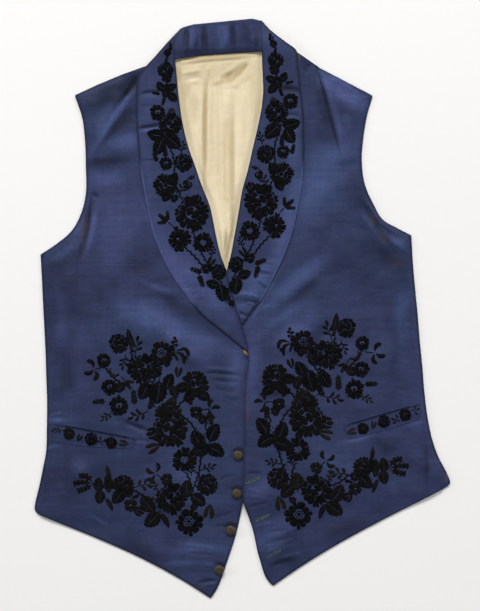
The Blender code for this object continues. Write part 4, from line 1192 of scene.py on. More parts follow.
def fine_rows(inner, outer, spacing):
    """Row numbers that lie about this spacing apart along the longer of two edges."""
    stops = [0.0]
    for start in np.arange(0.0, inner.last):
        longest = max(np.linalg.norm(side.at(start + 1.0) - side.at(start)) for side in (inner, outer))
        count = max(1, round(longest / spacing))
        stops += [start + (number + 1) / count for number in range(count)]
    return np.array(stops)


def close_ends(width, spacing):
    """Shares from 0 to 1 that lie closer together at both ends."""
    even = np.linspace(0.0, 1.0, max(3, round(width / spacing)) + 1)
    return even - END_CROWDING * np.sin(2.0 * np.pi * even) / (2.0 * np.pi)


def span(start, end, share, *bows):
    """Places on rows between two lines of points, at these shares of each row. A bow is a curved line
    of places, and how much of its curve each row has."""
    xy = start[:, None] + (end - start)[:, None] * share[None, :, None]
    for places, part in bows:
        xy += bow(places, share)[None] * part[:, None, None]
    return xy


def front_grid(name):
    """The places of a front, as the source lays them: rows from the shoulder down, inner edge first."""
    inner, outer = EDGES[name]
    rows = fine_rows(inner, outer, CLOTH_STEP)
    share = close_ends(FRONT_WIDTH, CLOTH_STEP)
    start, end = inner.at(rows), outer.at(rows)
    outward = np.copysign(COLLAR_PROUD, end[0, 0])
    start[:, 0] += outward * (1.0 - smooth(rows - SET_BACK_ROWS))
    xy = span(start, end, share, (SHOULDERS[name], np.maximum(1.0 - rows / SHOULDER_FADE_ROWS, 0.0)))
    near_hem = smooth((rows - inner.last + HEM_FADE_ROWS) / HEM_FADE_ROWS)
    xy[..., 1] += HEM_HOLLOW[name] * near_hem[:, None] * arch((1.0 - share) ** HEM_HOLLOW_SKEW)[None]
    return rows, xy


def collar_grid(name):
    inner, outer = EDGES[name]
    rows = fine_rows(inner, outer, COLLAR_STEP)
    start, end = inner.at(rows), outer.at(rows)
    outward = np.copysign(SEAM_GAP / 2, end[0, 0] - BAND_TOP[2][0])
    start[:, 0] += np.where(rows <= COLLAR_SEAM_ROWS, outward, 0.0)
    return rows, span(start, end, close_ends(COLLAR_WIDTH, COLLAR_STEP))


def collar_lines(right_rows, left_rows, inward):
    """The inner edges of both halves of the collar at some rows, moved towards each other."""
    start, end = EDGES["collar_right"][0].at(right_rows), EDGES["collar_left"][0].at(left_rows)
    start[:, 0] += inward
    end[:, 0] -= inward
    return start, end


def band_grid():
    down = np.linspace(0.0, 1.0, BAND_GRID_ROWS)
    start, end = collar_lines(down * COLLAR_SEAM_ROWS, down * BAND_LAST_LEFT, SEAM_GAP / 2)
    return span(start, end, close_ends(BAND_WIDTH, COLLAR_STEP), (BAND_TOP, 1.0 - down), (BAND_BOTTOM, down))


def lining_grid():
    down = np.linspace(0.0, 1.0, LINING_GRID_ROWS)
    right, left = mix(LINING_TOP_RIGHT, V_POINT_RIGHT, down), mix(LINING_TOP_LEFT, V_POINT_LEFT, down)
    start, end = collar_lines(right, left, -LINING_UNDER_COLLAR)
    share = np.linspace(0.0, 1.0, LINING_GRID_COLUMNS)
    xy = span(start, end, share, (LINING_TOP, np.maximum(1.0 - down / LINING_TOP_FADE, 0.0)))
    xy[-1, :, 1] -= LINING_PAST_POINT
    return xy


def back_grid():
    """The back, a little smaller all round than the fronts, with its corners under the arms cut off."""
    half = [number / 2 for number in range(2 * ARMPIT_ROW)]
    whole = [ARMPIT_ROW + 0.5] + [number + 1.0 for number in range(ARMPIT_ROW, BACK_LAST_ROW)]
    stops = np.array(half + whole)
    numbers = np.arange(len(stops))
    fine = np.linspace(0.0, len(stops) - 1.0, BACK_GRID_ROWS)
    lines = []
    for name, corner, inward in (("front_right", 0, -BACK_INSET), ("front_left", -1, BACK_INSET)):
        side = shifted(EDGES[name][1].at(stops), inward)
        side[0] = BACK_TOP[corner]
        lines.append(np.stack([np.interp(fine, numbers, side[:, axis]) for axis in (0, 1)], axis=-1))
    rows = np.interp(fine, numbers, stops)
    share = np.linspace(0.0, 1.0, BACK_GRID_COLUMNS)
    return span(*lines, share, (BACK_TOP, np.maximum(1.0 - rows / ARMPIT_ROW, 0.0)))


def shifted(points, distance):
    """A line of points moved sideways by a distance, to the right of its direction."""
    steps = np.diff(points, axis=0)
    sides = []
    for step in (np.vstack([steps[:1], steps]), np.vstack([steps, steps[-1:]])):
        sides.append(unit(np.stack([step[:, 1], -step[:, 0]], axis=-1)))
    normal = unit(sides[0] + sides[1])
    half_turn = np.sum(normal * sides[0], axis=-1, keepdims=True)
    return points + normal * distance / half_turn


def tube(name, node, line, height, radius, finish):
    """A cord of silk on a piece, along a line of places at some height, with closed ends."""
    line = np.column_stack([line, height])
    run = unit(np.gradient(line, axis=0))
    sideways = unit(np.stack([-run[:, 1], run[:, 0], np.zeros(len(run))], axis=-1))
    upward = np.cross(run, sideways)
    turns = 2.0 * np.pi * np.arange(TUBE_SIDES)[None, :, None] / TUBE_SIDES
    points = line[:, None] + radius * (np.cos(turns) * sideways[:, None] + np.sin(turns) * upward[:, None])
    index = np.arange(points[..., 0].size).reshape(points.shape[:2])
    faces = quads(index, True)[:, ::-1].tolist() + [index[0].tolist(), index[-1, ::-1].tolist()]
    return settle(add_mesh(name, points.reshape(-1, 3), faces, [finish]), node)


# ---------------------------------------------------------------- raised pads: pile and thread


def raise_pads(name, node, pads, height, finish, base=None):
    """Many small cushions of pile or thread on a piece, or on another base. Each pad is a grid of places
    and its wear, and becomes a closed mesh whose rim is sunk in the cloth."""
    base = base or LAYERS[node].over
    points, faces, marks = [], [], []
    for shape in sorted({pad[0].shape for pad in pads}):
        xy, mark_share = (np.array(values) for values in zip(*(pad for pad in pads if pad[0].shape == shape)))
        before, middle, after = PAD_PROBES
        run = xy[:, after, PAD_COLUMN] - xy[:, before, PAD_COLUMN]
        side = xy[:, middle, -1] - xy[:, middle, 0]
        turned = run[:, 0] * side[:, 1] - run[:, 1] * side[:, 0] < 0.0
        xy[turned] = xy[turned][:, :, ::-1]
        from_ends = (np.minimum(np.arange(size), np.arange(size)[::-1]) for size in shape[:2])
        rise = np.outer(*(np.minimum(1.0, PAD_RIM * steps) for steps in from_ends))
        breadth = np.linalg.norm(side, axis=-1)
        full = height * np.clip(PAD_NARROW + PAD_GAIN * breadth, 0.0, 1.0) * (1.0 - PILE_WORN * mark_share)
        ground = base(xy.reshape(-1, 2)).reshape(xy.shape[:-1])
        z = ground - PAD_SINK + (PAD_SINK + full)[:, None, None] * rise
        index = np.arange(z.size).reshape(z.shape) + sum(len(part) for part in points)
        corners = (index[:, :-1, :-1], index[:, 1:, :-1], index[:, 1:, 1:], index[:, :-1, 1:])
        under = (index[:, :-1, 0], index[:, :-1, -1], index[:, 1:, -1], index[:, 1:, 0])
        for sheet in (corners, under):
            faces += np.stack(sheet, axis=-1).reshape(-1, 4).tolist()
        faces += index[:, 0].tolist() + index[:, -1, ::-1].tolist()
        points.append(np.concatenate([xy, z[..., None]], axis=-1).reshape(-1, 3))
        marks.append(np.repeat(mark_share, shape[0] * shape[1]))
    piece = add_mesh(name, np.vstack(points), faces, [finish], 0, {"wear": np.concatenate(marks)})
    return settle(piece, node)


def blade(points, half, profile):
    """A narrow pad: a centre line through a few points, and its half widths."""
    curve = Curve(points)
    line = curve.at(SHARES * curve.last)
    ahead = unit(np.gradient(line, axis=0))
    sideways = np.stack([-ahead[:, 1], ahead[:, 0]], axis=-1)
    reach = np.maximum(half * profile, LEAST_HALF)
    return line[:, None] + sideways[:, None] * (reach[:, None] * ACROSS)[..., None]


def fan(start, end, far, lobes, hole, parted):
    """A broad petal between two angles. It starts at the edge of a round hole, given by its radius and its
    centre, and from a share of its reach outward a fine line of ground parts it from the next."""
    radius, across, up = hole
    half = np.radians(end - start) / 2
    middle = np.radians((start + end) / 2)
    for _ in range(2):
        turn = middle + half * SPREAD
        toward = across * np.cos(turn) + up * np.sin(turn)
        aside = across * np.sin(turn) - up * np.cos(turn)
        near = toward + np.sqrt(np.maximum(radius**2 - aside**2, 0.0)) + VOID
        out = near + np.maximum(far * TIPS[lobes] - near, LEAST_REACH) * ALONG[:, None]
        gap = VOID * np.clip(PARTING * (out / far - parted), -1.0, 1.0)
        half = np.maximum(np.radians(end - start) / 2 - gap / 2 / out, LEAST_TURN)
    turn = middle + half * SPREAD
    return np.stack([out * np.cos(turn), out * np.sin(turn)], axis=-1)


def moved(parts, place=(0.0, 0.0), turn=0.0):
    """Pads turned by some degrees, then moved."""
    forward, side = heading(turn), heading(turn + 90.0)
    return [part[..., :1] * forward + part[..., 1:] * side + np.array(place) for part in parts]


def stalk(points, half=STALK_HALF):
    return blade(points, half, EVEN)


class Sketch:
    """A motif in the making, as pads. Its lengths are given as shares of its size."""

    def __init__(self, drawing, size):
        self.size = size
        self.pads = []
        drawing(self)

    def add(self, pads, at=(0.0, 0.0), turn=0.0):
        self.pads += moved(pads, np.array(at) * self.size, turn)

    def ring(self, count, far, lobes, hole, start=0, sweep=360, parted=0.5, uneven=PETAL_UNEVEN, at=(0, 0)):
        """A ring of petals, or part of one, each a little unlike the next. Every third, and all those on
        one side, start inside the edge of the hole and so join what lies there."""
        radius, *centre = np.array(hole) * self.size
        number = np.arange(count + 1)
        wander = PETAL_WANDER * np.sin(WANDER_STEP * number + count) * (number % count > 0)
        edges = start + sweep * (number + wander) / count
        shorter = uneven * (0.5 + 0.5 * np.sin(REACH_STEP * number + count))
        reach = far * self.size * (1.0 - shorter)
        petals = []
        for petal in range(count):
            joined = petal % 3 == 1 or petal > JOINED_FROM * count
            inside = (max(radius - JOINED_LAP * joined, LEAST_HOLE * radius), *centre)
            petals.append(fan(edges[petal], edges[petal + 1], reach[petal], lobes, inside, parted))
        self.add(petals, at)

    def strip(self, points, half, profile=DROP, at=(0, 0), turn=0):
        self.add([blade(np.array(points) * self.size, half * self.size, profile)], at, turn)

    def dot(self, radius, at=(0, 0)):
        self.strip([(-radius, 0), (0, 0), (radius, 0)], radius, OVAL, at)

    def dots(self, count, away, radius, at=(0, 0)):
        """Small dots in a ring."""
        for number in range(count):
            toward = heading(360.0 * number / count)
            line = [toward * out for out in (away - radius, away, away + radius)]
            self.strip(line, radius * DOT_NARROW, OVAL, at)

    def stalk(self, *points):
        self.add([stalk(np.array(points) * self.size)])

    def bow(self, radius, start, end, half, profile=DROP, at=(0, 0)):
        """A pad bent to an arc."""
        self.strip([heading(angle) * radius for angle in np.linspace(start, end, 5)], half, profile, at)

    def halves(self, width, teeth):
        """Both halves of a leaf with toothed edges, beside its vein."""
        size = self.size
        notched = 1.0 - teeth * (np.arange(len(TOOTHED)) % 2 == 0)
        bulge = np.sin(np.pi * TOOTHED**LEAF_BROADEST).clip(0.0) ** LEAF_ROUND
        spread = width * size * bulge * notched
        vein = GROOVE / 2 + (VEIN - GROOVE) / 2 * (1.0 - TOOTHED)
        across = vein[:, None] + np.maximum(spread - vein, LEAF_LEAST)[:, None] * (0.5 + 0.5 * SPREAD)
        swept = LEAF_SWEEP * (across - LEAF_SWEPT_FROM * size)
        lengthwise = (2.0 * TOOTHED - 1.0)[:, None] * size + swept
        bend = LEAF_BEND * size * (1.0 - (2.0 * TOOTHED - 1.0) ** 2)
        for side in (-1.0, 1.0):
            self.add([np.stack([lengthwise, side * across + bend[:, None]], axis=-1)])


def rose(draw):
    draw.ring(7, 1, 2, (0.54, 0.05, 0.14), parted=0.72)
    draw.ring(4, 0.54, 4, (0.24, 0.04, -0.05), 40, parted=0.6, uneven=INNER_UNEVEN, at=(0.05, 0.14))
    draw.dot(0.22, (0.09, 0.09))


def peony(draw):
    draw.ring(9, 1, 2, (0.62, -0.06, 0.1), 12, parted=0.76)
    draw.ring(6, 0.62, 4, (0.335, 0.08, -0.06), 30, parted=0.7, uneven=INNER_UNEVEN, at=(-0.06, 0.1))
    for start in (40, 220):
        draw.bow(0.2, start, start + 165, 0.132, EVEN, (0.02, 0.04))
    draw.dot(0.11, (0.02, 0.04))


def crown(draw):
    """The upper half of a bloom that shows behind another."""
    draw.ring(6, 1, 2, (0.56, 0, 0), -105, 210, 0.7)
    draw.ring(3, 0.56, 4, (0.1, 0, 0), -100, 200, 0.5, INNER_UNEVEN)


def daisy(draw):
    draw.ring(11, 1, 1, (0.36, -0.05, 0.06), parted=0.62)
    draw.dots(8, 0.24, 0.075, (-0.05, 0.06))
    draw.dot(0.13, (-0.05, 0.06))


def aster(draw):
    draw.ring(9, 1, 2, (0.5, 0, 0), -18, 216, 0.7)
    draw.ring(6, 0.5, 4, (0.22, 0, 0), -10, 200, 0.6, INNER_UNEVEN)
    draw.ring(4, 0.95, 2, (0.2, 0, 0), 200, 140, 0.4)
    draw.dot(0.17)


def ring(draw):
    draw.ring(7, 1, 2, (0.27, 0.04, 0.05), 8, parted=0.66)
    draw.dot(0.15)


def star(draw):
    draw.ring(6, 1, 1, (0.16, 0, 0), parted=0.4)


def star8(draw):
    draw.ring(8, 1, 2, (0.28, 0, 0), parted=0.55)
    draw.dots(5, 0.17, 0.055)


def small(draw):
    draw.ring(5, 1, 1, (0.14, 0, 0), parted=0.35)


def carnation(draw):
    draw.ring(9, 1, 2, (0.12, 0.12, -0.05), 20, parted=0.52, uneven=0.24)
    draw.dot(0.08)


def bud(draw):
    draw.strip([(-0.5, 0), (0.25, 0), (1, 0)], 0.34)
    for side in (-1, 1):
        draw.strip([(-0.9, 0), (-0.1, side * 0.6), (0.8, side * 0.5)], 0.26, OVAL)
    draw.stalk((-1.4, 0), (-0.9, 0), (-0.4, 0))


def leaf(draw):
    draw.halves(0.8, 0.2)
    draw.stalk((-1.3, 0), (-1.1, 0), (-0.8, 0))


def slim(draw):
    draw.halves(0.34, 0.1)


def spike(draw):
    """A stalk with beads in pairs, which grow smaller to its tip."""
    draw.stalk((-1, 0), (0, 0.03), (1, 0))
    for share in (0, 1 / 3, 2 / 3, 1):
        bead = mix(0.31, 0.22, share)
        for side in (-1, 1):
            place = (mix(-0.45, 0.75, share), side * 0.19)
            draw.strip([(-bead, 0), (0, 0), (bead, 0)], 0.66 * bead, OVAL, place, side * 42)
    draw.dot(0.16, (1, 0))


def sprig(draw):
    """A twig with two pairs of small leaves and one at its tip."""
    draw.stalk((-1, 0), (-0.3, 0.06), (0.4, 0))
    leaves = ((-0.35, 62, 0.36), (-0.2, -58, 0.38), (0.2, 48, 0.4), (0.3, -44, 0.38), (0.62, 2, 0.4))
    for at, turn, reach in leaves:
        draw.strip([(-reach, 0), (0, 0.08), (reach, 0)], 0.17, at=(at, 0) + heading(turn) * reach, turn=turn)


def frond(draw):
    """A fern of three beaded spikes."""
    for angle, reach in ((-46, 0.62), (4, 0.75), (50, 0.62)):
        draw.add(Sketch(spike, reach * draw.size).pads, heading(angle) * 0.62, angle)
    draw.stalk((-0.9, 0), (-0.4, 0), (0, 0))


def fern(draw):
    """Three bent leaves, toothed with beads, from one stalk."""
    draw.stalk((-1.4, 0.1), (-1.1, 0.04), (-0.8, 0))
    for line in (
        [(-0.85, -0.05), (-0.2, -0.6), (0.55, -0.5)],
        [(-0.85, 0), (0.1, 0.02), (1, 0.32)],
        [(-0.9, 0.1), (-0.25, 0.55), (0.5, 0.95)],
    ):
        draw.strip(line, 0.17)
        curve = Curve(line)
        for share in (0.3, 0.5, 0.7, 0.88):
            at, ahead = curve.at(np.array((share, share + 0.05)) * curve.last)
            aside = unit(ahead - at)[::-1] * np.array((-0.16, 0.16))
            draw.dot(0.13, at + aside)
            draw.dot(0.13, at - aside)


def curl(draw):
    draw.bow(0.7, -120, 60, 0.3)
    draw.dot(0.2, heading(60) * 0.7)


def curls(draw):
    """Three bent leaflets on a short stalk."""
    draw.stalk((-1, 0.1), (-0.4, 0.08), (0, 0))
    for angle, bend in ((-60, -0.3), (-4, 0.24), (58, 0.34)):
        draw.strip([(0, 0), (0.45, bend), (1, 0.3 * bend)], 0.22, at=heading(angle) * 0.1, turn=angle)


def branch(draw):
    """A short beaded stalk, and three bent leaves that hang beside it."""
    draw.stalk((-0.3, -0.2), (-0.36, 0.5), (-0.3, 1.15))
    for place in ((-0.12, 0.62), (-0.52, 0.5), (-0.5, 0.92), (-0.14, 1.02), (-0.3, 1.3)):
        draw.dot(0.17, place)
    draw.strip([(-0.2, 0), (0.75, 0.22), (1.1, -0.55)], 0.2)
    draw.strip([(-0.2, -0.1), (0.42, -0.3), (0.62, -1.35)], 0.2)
    draw.strip([(-0.35, -0.1), (-0.2, -0.5), (0.02, -0.95)], 0.14)


def pair(draw):
    for side in (-1, 1):
        draw.strip([(-1, 0), (0, side * 0.34), (1, side * 0.42)], 0.3)


BLOOMS = (rose, peony, daisy, aster, ring, star, star8, small, carnation, crown, bud)
GREENERY = (leaf, slim, spike, sprig, frond, fern, curl, curls, branch, pair)
KINDS = {drawing.__name__: drawing for drawing in BLOOMS + GREENERY}


def buds_along(stem):
    """Small buds in turn on each side of a stem."""
    curve = Curve(stem)
    length = np.linalg.norm(np.diff(curve.at(np.linspace(0.0, curve.last, 9)), axis=0), axis=1).sum()
    buds = []
    for number, share in enumerate(np.arange(0.5, int(length / BUD_GAP)) / (length / BUD_GAP)):
        at, ahead = curve.at(np.array((share, share + 0.02)) * curve.last)
        aside = unit(ahead - at)[::-1] * np.array((-1.0, 1.0)) * (1.0 if number % 2 else -1.0)
        buds.append(blade([at + aside * out for out in BUD_REACH], BUD_HALF, DROP))
    return buds


def mirrored(part, tilt):
    """The mirror image of a pad, turned by some degrees."""
    return part * np.array((-1.0, 1.0)) @ np.array((heading(tilt), heading(tilt + 90.0)))


def pattern(motifs, left, stems=(), tilt=0.0, move=(0.0, 0.0)):
    """The pads of a pattern on one side of the garment. The left side mirrors the right."""
    pads = []
    for motif in motifs:
        place = (motif.left_x, motif.left_y) if left else (motif.right_x, motif.right_y)
        for part in moved(Sketch(KINDS[motif.kind], motif.radius).pads, turn=motif.turn):
            pads.append(((mirrored(part, tilt) if left else part) + np.array(place), motif.wear))
    for stem in stems:
        for part in [stalk(stem, STEM_HALF)] + buds_along(stem):
            pads.append((mirrored(part, tilt) + np.array(move) if left else part, 0.0))
    return pads


# ---------------------------------------------------------------- materials


def linear(red, green, blue):
    """A colour for a socket, from the 0 to 255 values that a screen shows."""
    shares = np.array((red, green, blue)) / 255.0
    return (*np.where(shares <= 0.04045, shares / 12.92, ((shares + 0.055) / 1.055) ** 2.4), 1.0)


class Finish:
    """A node material under construction, with its nodes added one by one."""

    def __init__(self, name, roughness, specular, sheen=0.0, sheen_tint=(1.0, 1.0, 1.0, 1.0)):
        self.material = bpy.data.materials.new(name)
        self.material.use_nodes = True
        self.tree = self.material.node_tree
        self.shader = self.tree.nodes["Principled BSDF"]
        names = ("Roughness", "Specular IOR Level", "Sheen Weight", "Sheen Roughness", "Sheen Tint")
        for socket, value in zip(names, (roughness, specular, sheen, SHEEN_ROUGHNESS, sheen_tint)):
            self.shader.inputs[socket].default_value = value
        self.place = self.add("TexCoord").outputs["Object"]

    def add(self, kind, settings=(), **inputs):
        """A node, with its settings and with sockets that are linked or set."""
        node = self.tree.nodes.new("ShaderNode" + kind)
        for key, value in dict(settings).items():
            setattr(node, key, value)
        for key, value in inputs.items():
            self.feed(node.inputs[key.replace("_", " ")], value)
        return node

    def feed(self, socket, value):
        if isinstance(value, bpy.types.NodeSocket):
            self.tree.links.new(value, socket)
        else:
            socket.default_value = value

    def noise(self, scale, detail=2.0, stretch=(1.0, 1.0, 1.0), distortion=0.0):
        """Cloudy values. scale is in waves to a metre, and stretch multiplies it along each axis."""
        place = self.add("Mapping", Vector=self.place, Scale=stretch).outputs["Vector"]
        node = self.add("TexNoise", Vector=place, Scale=scale, Detail=detail, Distortion=distortion)
        return node.outputs["Fac"]

    def wave(self, pitch, axis, distortion=0.0, detail_scale=1.0):
        """A row of soft lines, pitch metres apart."""
        settings = {"wave_type": "BANDS", "bands_direction": axis, "wave_profile": "SIN"}
        bands = {"Scale": np.pi / (10.0 * pitch), "Distortion": distortion, "Detail_Scale": detail_scale}
        return self.add("TexWave", settings, Vector=self.place, **bands).outputs["Fac"]

    def remap(self, value, low, high, to_low, to_high):
        ends = {"From_Min": low, "From_Max": high, "To_Min": to_low, "To_Max": to_high}
        node = self.add("MapRange", {"interpolation_type": "SMOOTHSTEP"}, Value=value, **ends)
        return node.outputs["Result"]

    def math(self, operation, first, second):
        node = self.add("Math", {"operation": operation})
        self.feed(node.inputs[0], first)
        self.feed(node.inputs[1], second)
        return node.outputs["Value"]

    def blend(self, share, first, second, mode="MIX"):
        """One colour over another."""
        kind = {"data_type": "RGBA", "blend_type": mode}
        return self.add("Mix", kind, Factor=share, A=first, B=second).outputs["Result"]

    def shade(self, colour, value, low, high):
        """The colour times a share that follows a cloudy value."""
        share = self.remap(value, *CLOUDS, low, high)
        grey = self.add("CombineColor", Red=share, Green=share, Blue=share).outputs["Color"]
        return self.blend(1.0, colour, grey, "MULTIPLY")

    def mark(self, name):
        return self.add("Attribute", {"attribute_name": name}).outputs["Fac"]

    def bump(self, height, depth, before=None):
        """Relief in metres, on top of an earlier relief."""
        node = self.add("Bump", Height=height, Strength=1.0, Distance=depth)
        if before is not None:
            self.feed(node.inputs["Normal"], before)
        return node.outputs["Normal"]

    def done(self, colour, relief=None, roughness=None):
        self.feed(self.shader.inputs["Base Color"], colour)
        if relief is not None:
            self.feed(self.shader.inputs["Normal"], relief)
        if roughness is not None:
            self.feed(self.shader.inputs["Roughness"], roughness)
        return self.material


def changeable_silk(name, shaded_colour, light, brown):
    """Fine ribbed silk with painted light: darker or lighter by its mark, greener or more violet in turn."""
    finish = Finish(name, 0.5, SILK_SPECULAR, 0.12, linear(120, 130, 200))
    finish.shader.inputs["Specular Tint"].default_value = linear(205, 212, 240)
    cloud = finish.remap(finish.noise(26.0, 3.0, (1.0, 1.4, 1.0), 0.3), 0.25, 0.75, -0.07, 0.07)
    share = finish.math("ADD", finish.math("ADD", finish.mark("painted_light"), cloud), SILK_MIDDLE)
    # Painted light: from the shaded colour to the lit one, and below 0 on to a painted shadow near black.
    colour = finish.blend(finish.remap(share, 0.0, 1.0, 0.0, 1.0), shaded_colour, light)
    colour = finish.blend(finish.remap(share, -0.7, 0.0, 0.8, 0.0), colour, linear(9, 10, 18))
    turn = finish.remap(finish.noise(12.0, 2.0, (1.0, 0.8, 1.0), 0.4), 0.38, 0.62, 0.0, 1.0)
    tint = finish.blend(turn, (0.96, 1.02, 1.0, 1.0), (1.05, 0.97, 1.0, 1.0))
    colour = finish.blend(1.0, colour, tint, "MULTIPLY")
    for grain, depth in (
        ((1.0, 3.0, (11.0, 300.0, 60.0)), 0.07),
        ((1.0, 2.0, (230.0, 26.0, 60.0)), 0.05),
        ((420.0, 2.0), 0.08),
    ):
        colour = finish.shade(colour, finish.noise(*grain), 1.0 - depth, 1.0 + depth)
    mark_share = finish.remap(finish.noise(240.0, 3.0), 0.35, 0.6, 0.45, 1.0)
    colour = finish.blend(finish.math("MULTIPLY", finish.mark("stain_and_shade"), mark_share), colour, brown)
    relief = finish.bump(finish.wave(0.00075, "Y", 1.2, 3.0), 0.00006)
    relief = finish.bump(finish.noise(1.0, 2.0, (16.0, 480.0, 60.0)), 0.00018, relief)
    relief = finish.bump(finish.noise(1.0, 2.0, (520.0, 60.0, 60.0)), 0.00006, relief)
    shine = finish.remap(finish.noise(38.0, 3.0), 0.3, 0.7, 0.42, 0.58)
    return finish.done(colour, relief, shine)


def plain_cotton(name, light, dark):
    """Plain woven cotton, glazed and a little discoloured, and darkened where stains or painted shade are
    marked.
    """
    finish = Finish(name, 0.75, 0.15, 0.1, linear(250, 240, 220))
    cloud = finish.remap(finish.noise(22.0, 4.0, (1.6, 0.6, 1.0)), 0.35, 0.68, 0.0, 0.22)
    colour = finish.blend(cloud, light, dark)
    colour = finish.shade(colour, finish.noise(1.0, 3.0, (420.0, 30.0, 60.0)), 0.98, 1.02)
    colour = finish.shade(colour, finish.noise(1.0, 3.0, (30.0, 420.0, 60.0)), 0.985, 1.015)
    # Stains, and on the lining painted shade, blend the cotton to its darker colour.
    colour = finish.blend(finish.mark("stain_and_shade"), colour, dark)
    relief = finish.bump(finish.wave(0.0006, "X", 1.0, 3.0), 0.00005)
    relief = finish.bump(finish.wave(0.0006, "Y", 1.0, 3.0), 0.00005, relief)
    relief = finish.bump(finish.noise(160.0, 3.0), 0.0003, relief)
    return finish.done(colour, relief)


def cut_pile(name):
    """Short black silk pile, worn brown at some tips."""
    finish = Finish(name, 0.85, 0.05, 0.03, linear(110, 110, 90))
    colour = finish.shade(linear(11, 11, 12), finish.noise(260.0, 3.0), 0.6, 1.7)
    mark_share = finish.remap(finish.noise(300.0, 2.0), 0.3, 0.6, 0.25, 0.72)
    colour = finish.blend(finish.math("MULTIPLY", finish.mark("wear"), mark_share), colour, linear(56, 52, 40))
    relief = finish.bump(finish.noise(900.0, 2.0), 0.0005)
    relief = finish.bump(finish.noise(2600.0, 2.0), 0.0003, relief)
    return finish.done(colour, relief)


def thread(name, colour, dark, roughness=0.55, specular=0.3):
    """Twisted silk thread."""
    finish = Finish(name, roughness, specular, 0.1)
    mixed = finish.blend(finish.remap(finish.noise(500.0, 2.0), 0.35, 0.65, 0.0, 1.0), colour, dark)
    relief = finish.bump(finish.noise(1500.0, 2.0), 0.0002)
    return finish.done(mixed, relief)


def floor_paper(name):
    finish = Finish(name, 0.9, 0.0)
    colour = finish.shade(linear(247, 246, 245), finish.noise(1.5, 2.0), 0.992, 1.008)
    return finish.done(colour, finish.bump(finish.noise(60.0, 3.0), 0.0002))


# ---------------------------------------------------------------- the garment


def plain(parts):
    """Pads without wear."""
    return [(part, 0.0) for part in parts]


def sew(name, line, stitch, looks):
    """Short straight stitches on a piece, along a line of places."""
    gap, length, half = stitch
    reach = np.linalg.norm(np.diff(line, axis=0), axis=1).sum()
    starts = np.arange(int(reach / gap))[:, None]
    shares = np.array((0.0, 0.5 * length / gap, length / gap)) + starts
    pads = plain([blade(along(line, share), half, EVEN) for share in shares * gap / reach])
    return raise_pads(f"{name}_stitches", name, pads, half, looks["dark_silk"])


def raise_pile(name, pads, looks):
    return raise_pads(f"{name}_pile", name, pads, PILE_HEIGHT, looks["pile"])


def make_front(name, hand, looks):
    rows, xy = front_grid(name)
    # The silk is painted darker along its rim.
    cloth = shell(name, xy, [looks["silk"], looks["cream"]], RIM_PAINTED_SHADE)
    # The binding runs down the armhole and the side, along the hem and up the closure.
    closure = xy[rows >= CLOSURE_ROW, 0][::-1]
    line = shifted(np.vstack([xy[:, -1], xy[-1, -2:0:-1], closure]), hand * BINDING_PROUD)
    under, over = (side(line) for side in LAYERS[name])
    binding = tube(f"{name}_binding", name, line, mix(under, over, 0.5), BINDING_RADIUS, looks["edge_silk"])
    pads = pattern(SPRAY_MOTIFS, hand < 0.0, SPRAY_STEMS, SPRAY_TILT, SPRAY_MOVE)
    return cloth, [binding, raise_pile(name, pads, looks)]


def make_half_collar(name, hand, looks):
    rows, xy = collar_grid(name)
    # Low on the lapel the seam's fold has a painted highlight, and higher up and at its point painted shade.
    low, high = SEAM_LIT
    lit = smooth((high - xy[..., 1]) / SEAM_LIT_FADE[1]) * smooth((xy[..., 1] - low) / SEAM_LIT_FADE[0])
    seam_half = np.linspace(0.0, 1.0, xy.shape[1]) > 0.5
    rim_painted_light = np.where(seam_half, mix(*SEAM_PAINTED_LIGHT, lit), RIM_PAINTED_SHADE)
    cloth = shell(name, xy, [looks["silk"], looks["cream"]], rim_painted_light)
    free = rows >= COLLAR_SEAM_ROWS
    line = shifted(xy[free, 0], hand * EDGING_PROUD)
    under, over = (side(line) for side in LAYERS[name])
    height = mix(under, over, EDGING_SHARE)
    edging = tube(f"{name}_edging", name, line, height, EDGING_RADIUS, looks["dark_silk"])
    pads = pattern(LAPEL_MOTIFS, hand < 0.0, LAPEL_STEMS, LAPEL_TILT, LAPEL_MOVE)
    chain = raise_pile(name, pads, looks)
    seam = sew(name, shifted(xy[free, -1], -hand * STITCH_INSET), COLLAR_STITCH, looks)
    return cloth, [edging, chain, seam]


def make_welt(name, front, looks):
    shape = WELTS[name]
    upper_inner, upper_outer, lower_inner, lower_outer = np.array(shape[:4])
    across = close_ends(WELT_WIDTH, CLOTH_STEP)
    upper = mix(upper_inner, upper_outer, across[:, None])
    lower = mix(lower_inner, lower_outer, across[:, None])
    lower[:, 1] -= shape.sag * arch(across)
    xy = mix(upper[None], lower[None], close_ends(WELT_DEPTH, COLLAR_STEP)[:, None, None])
    LAYERS[name] = welt_layer(LAYERS[front], lower[::WELT_SKIP])
    cloth = shell(name, xy, [looks["silk"]])
    # A fold along the upper edge, with small stitches under it.
    height = LAYERS[name].under(upper) + WELT_EDGE
    edging = tube(f"{name}_edging", name, upper, height, EDGING_RADIUS, looks["dark_silk"])
    flowers = raise_pile(name, pattern(WELT_MOTIFS[name], False), looks)
    seam = sew(name, mix(upper, lower, WELT_SEAM), WELT_STITCH, looks)
    # The mouth of the pocket is a dark line of painted shade along the welt.
    away, half, height = WELT_MOUTH_SHADE
    mouth_shade = plain([blade(upper[::WELT_SKIP] + np.array((0.0, away)), half, EVEN)])
    slit = raise_pads(f"{name}_mouth", name, mouth_shade, height, looks["dark_silk"], base=LAYERS[front].over)
    return cloth, [edging, flowers, seam, slit]


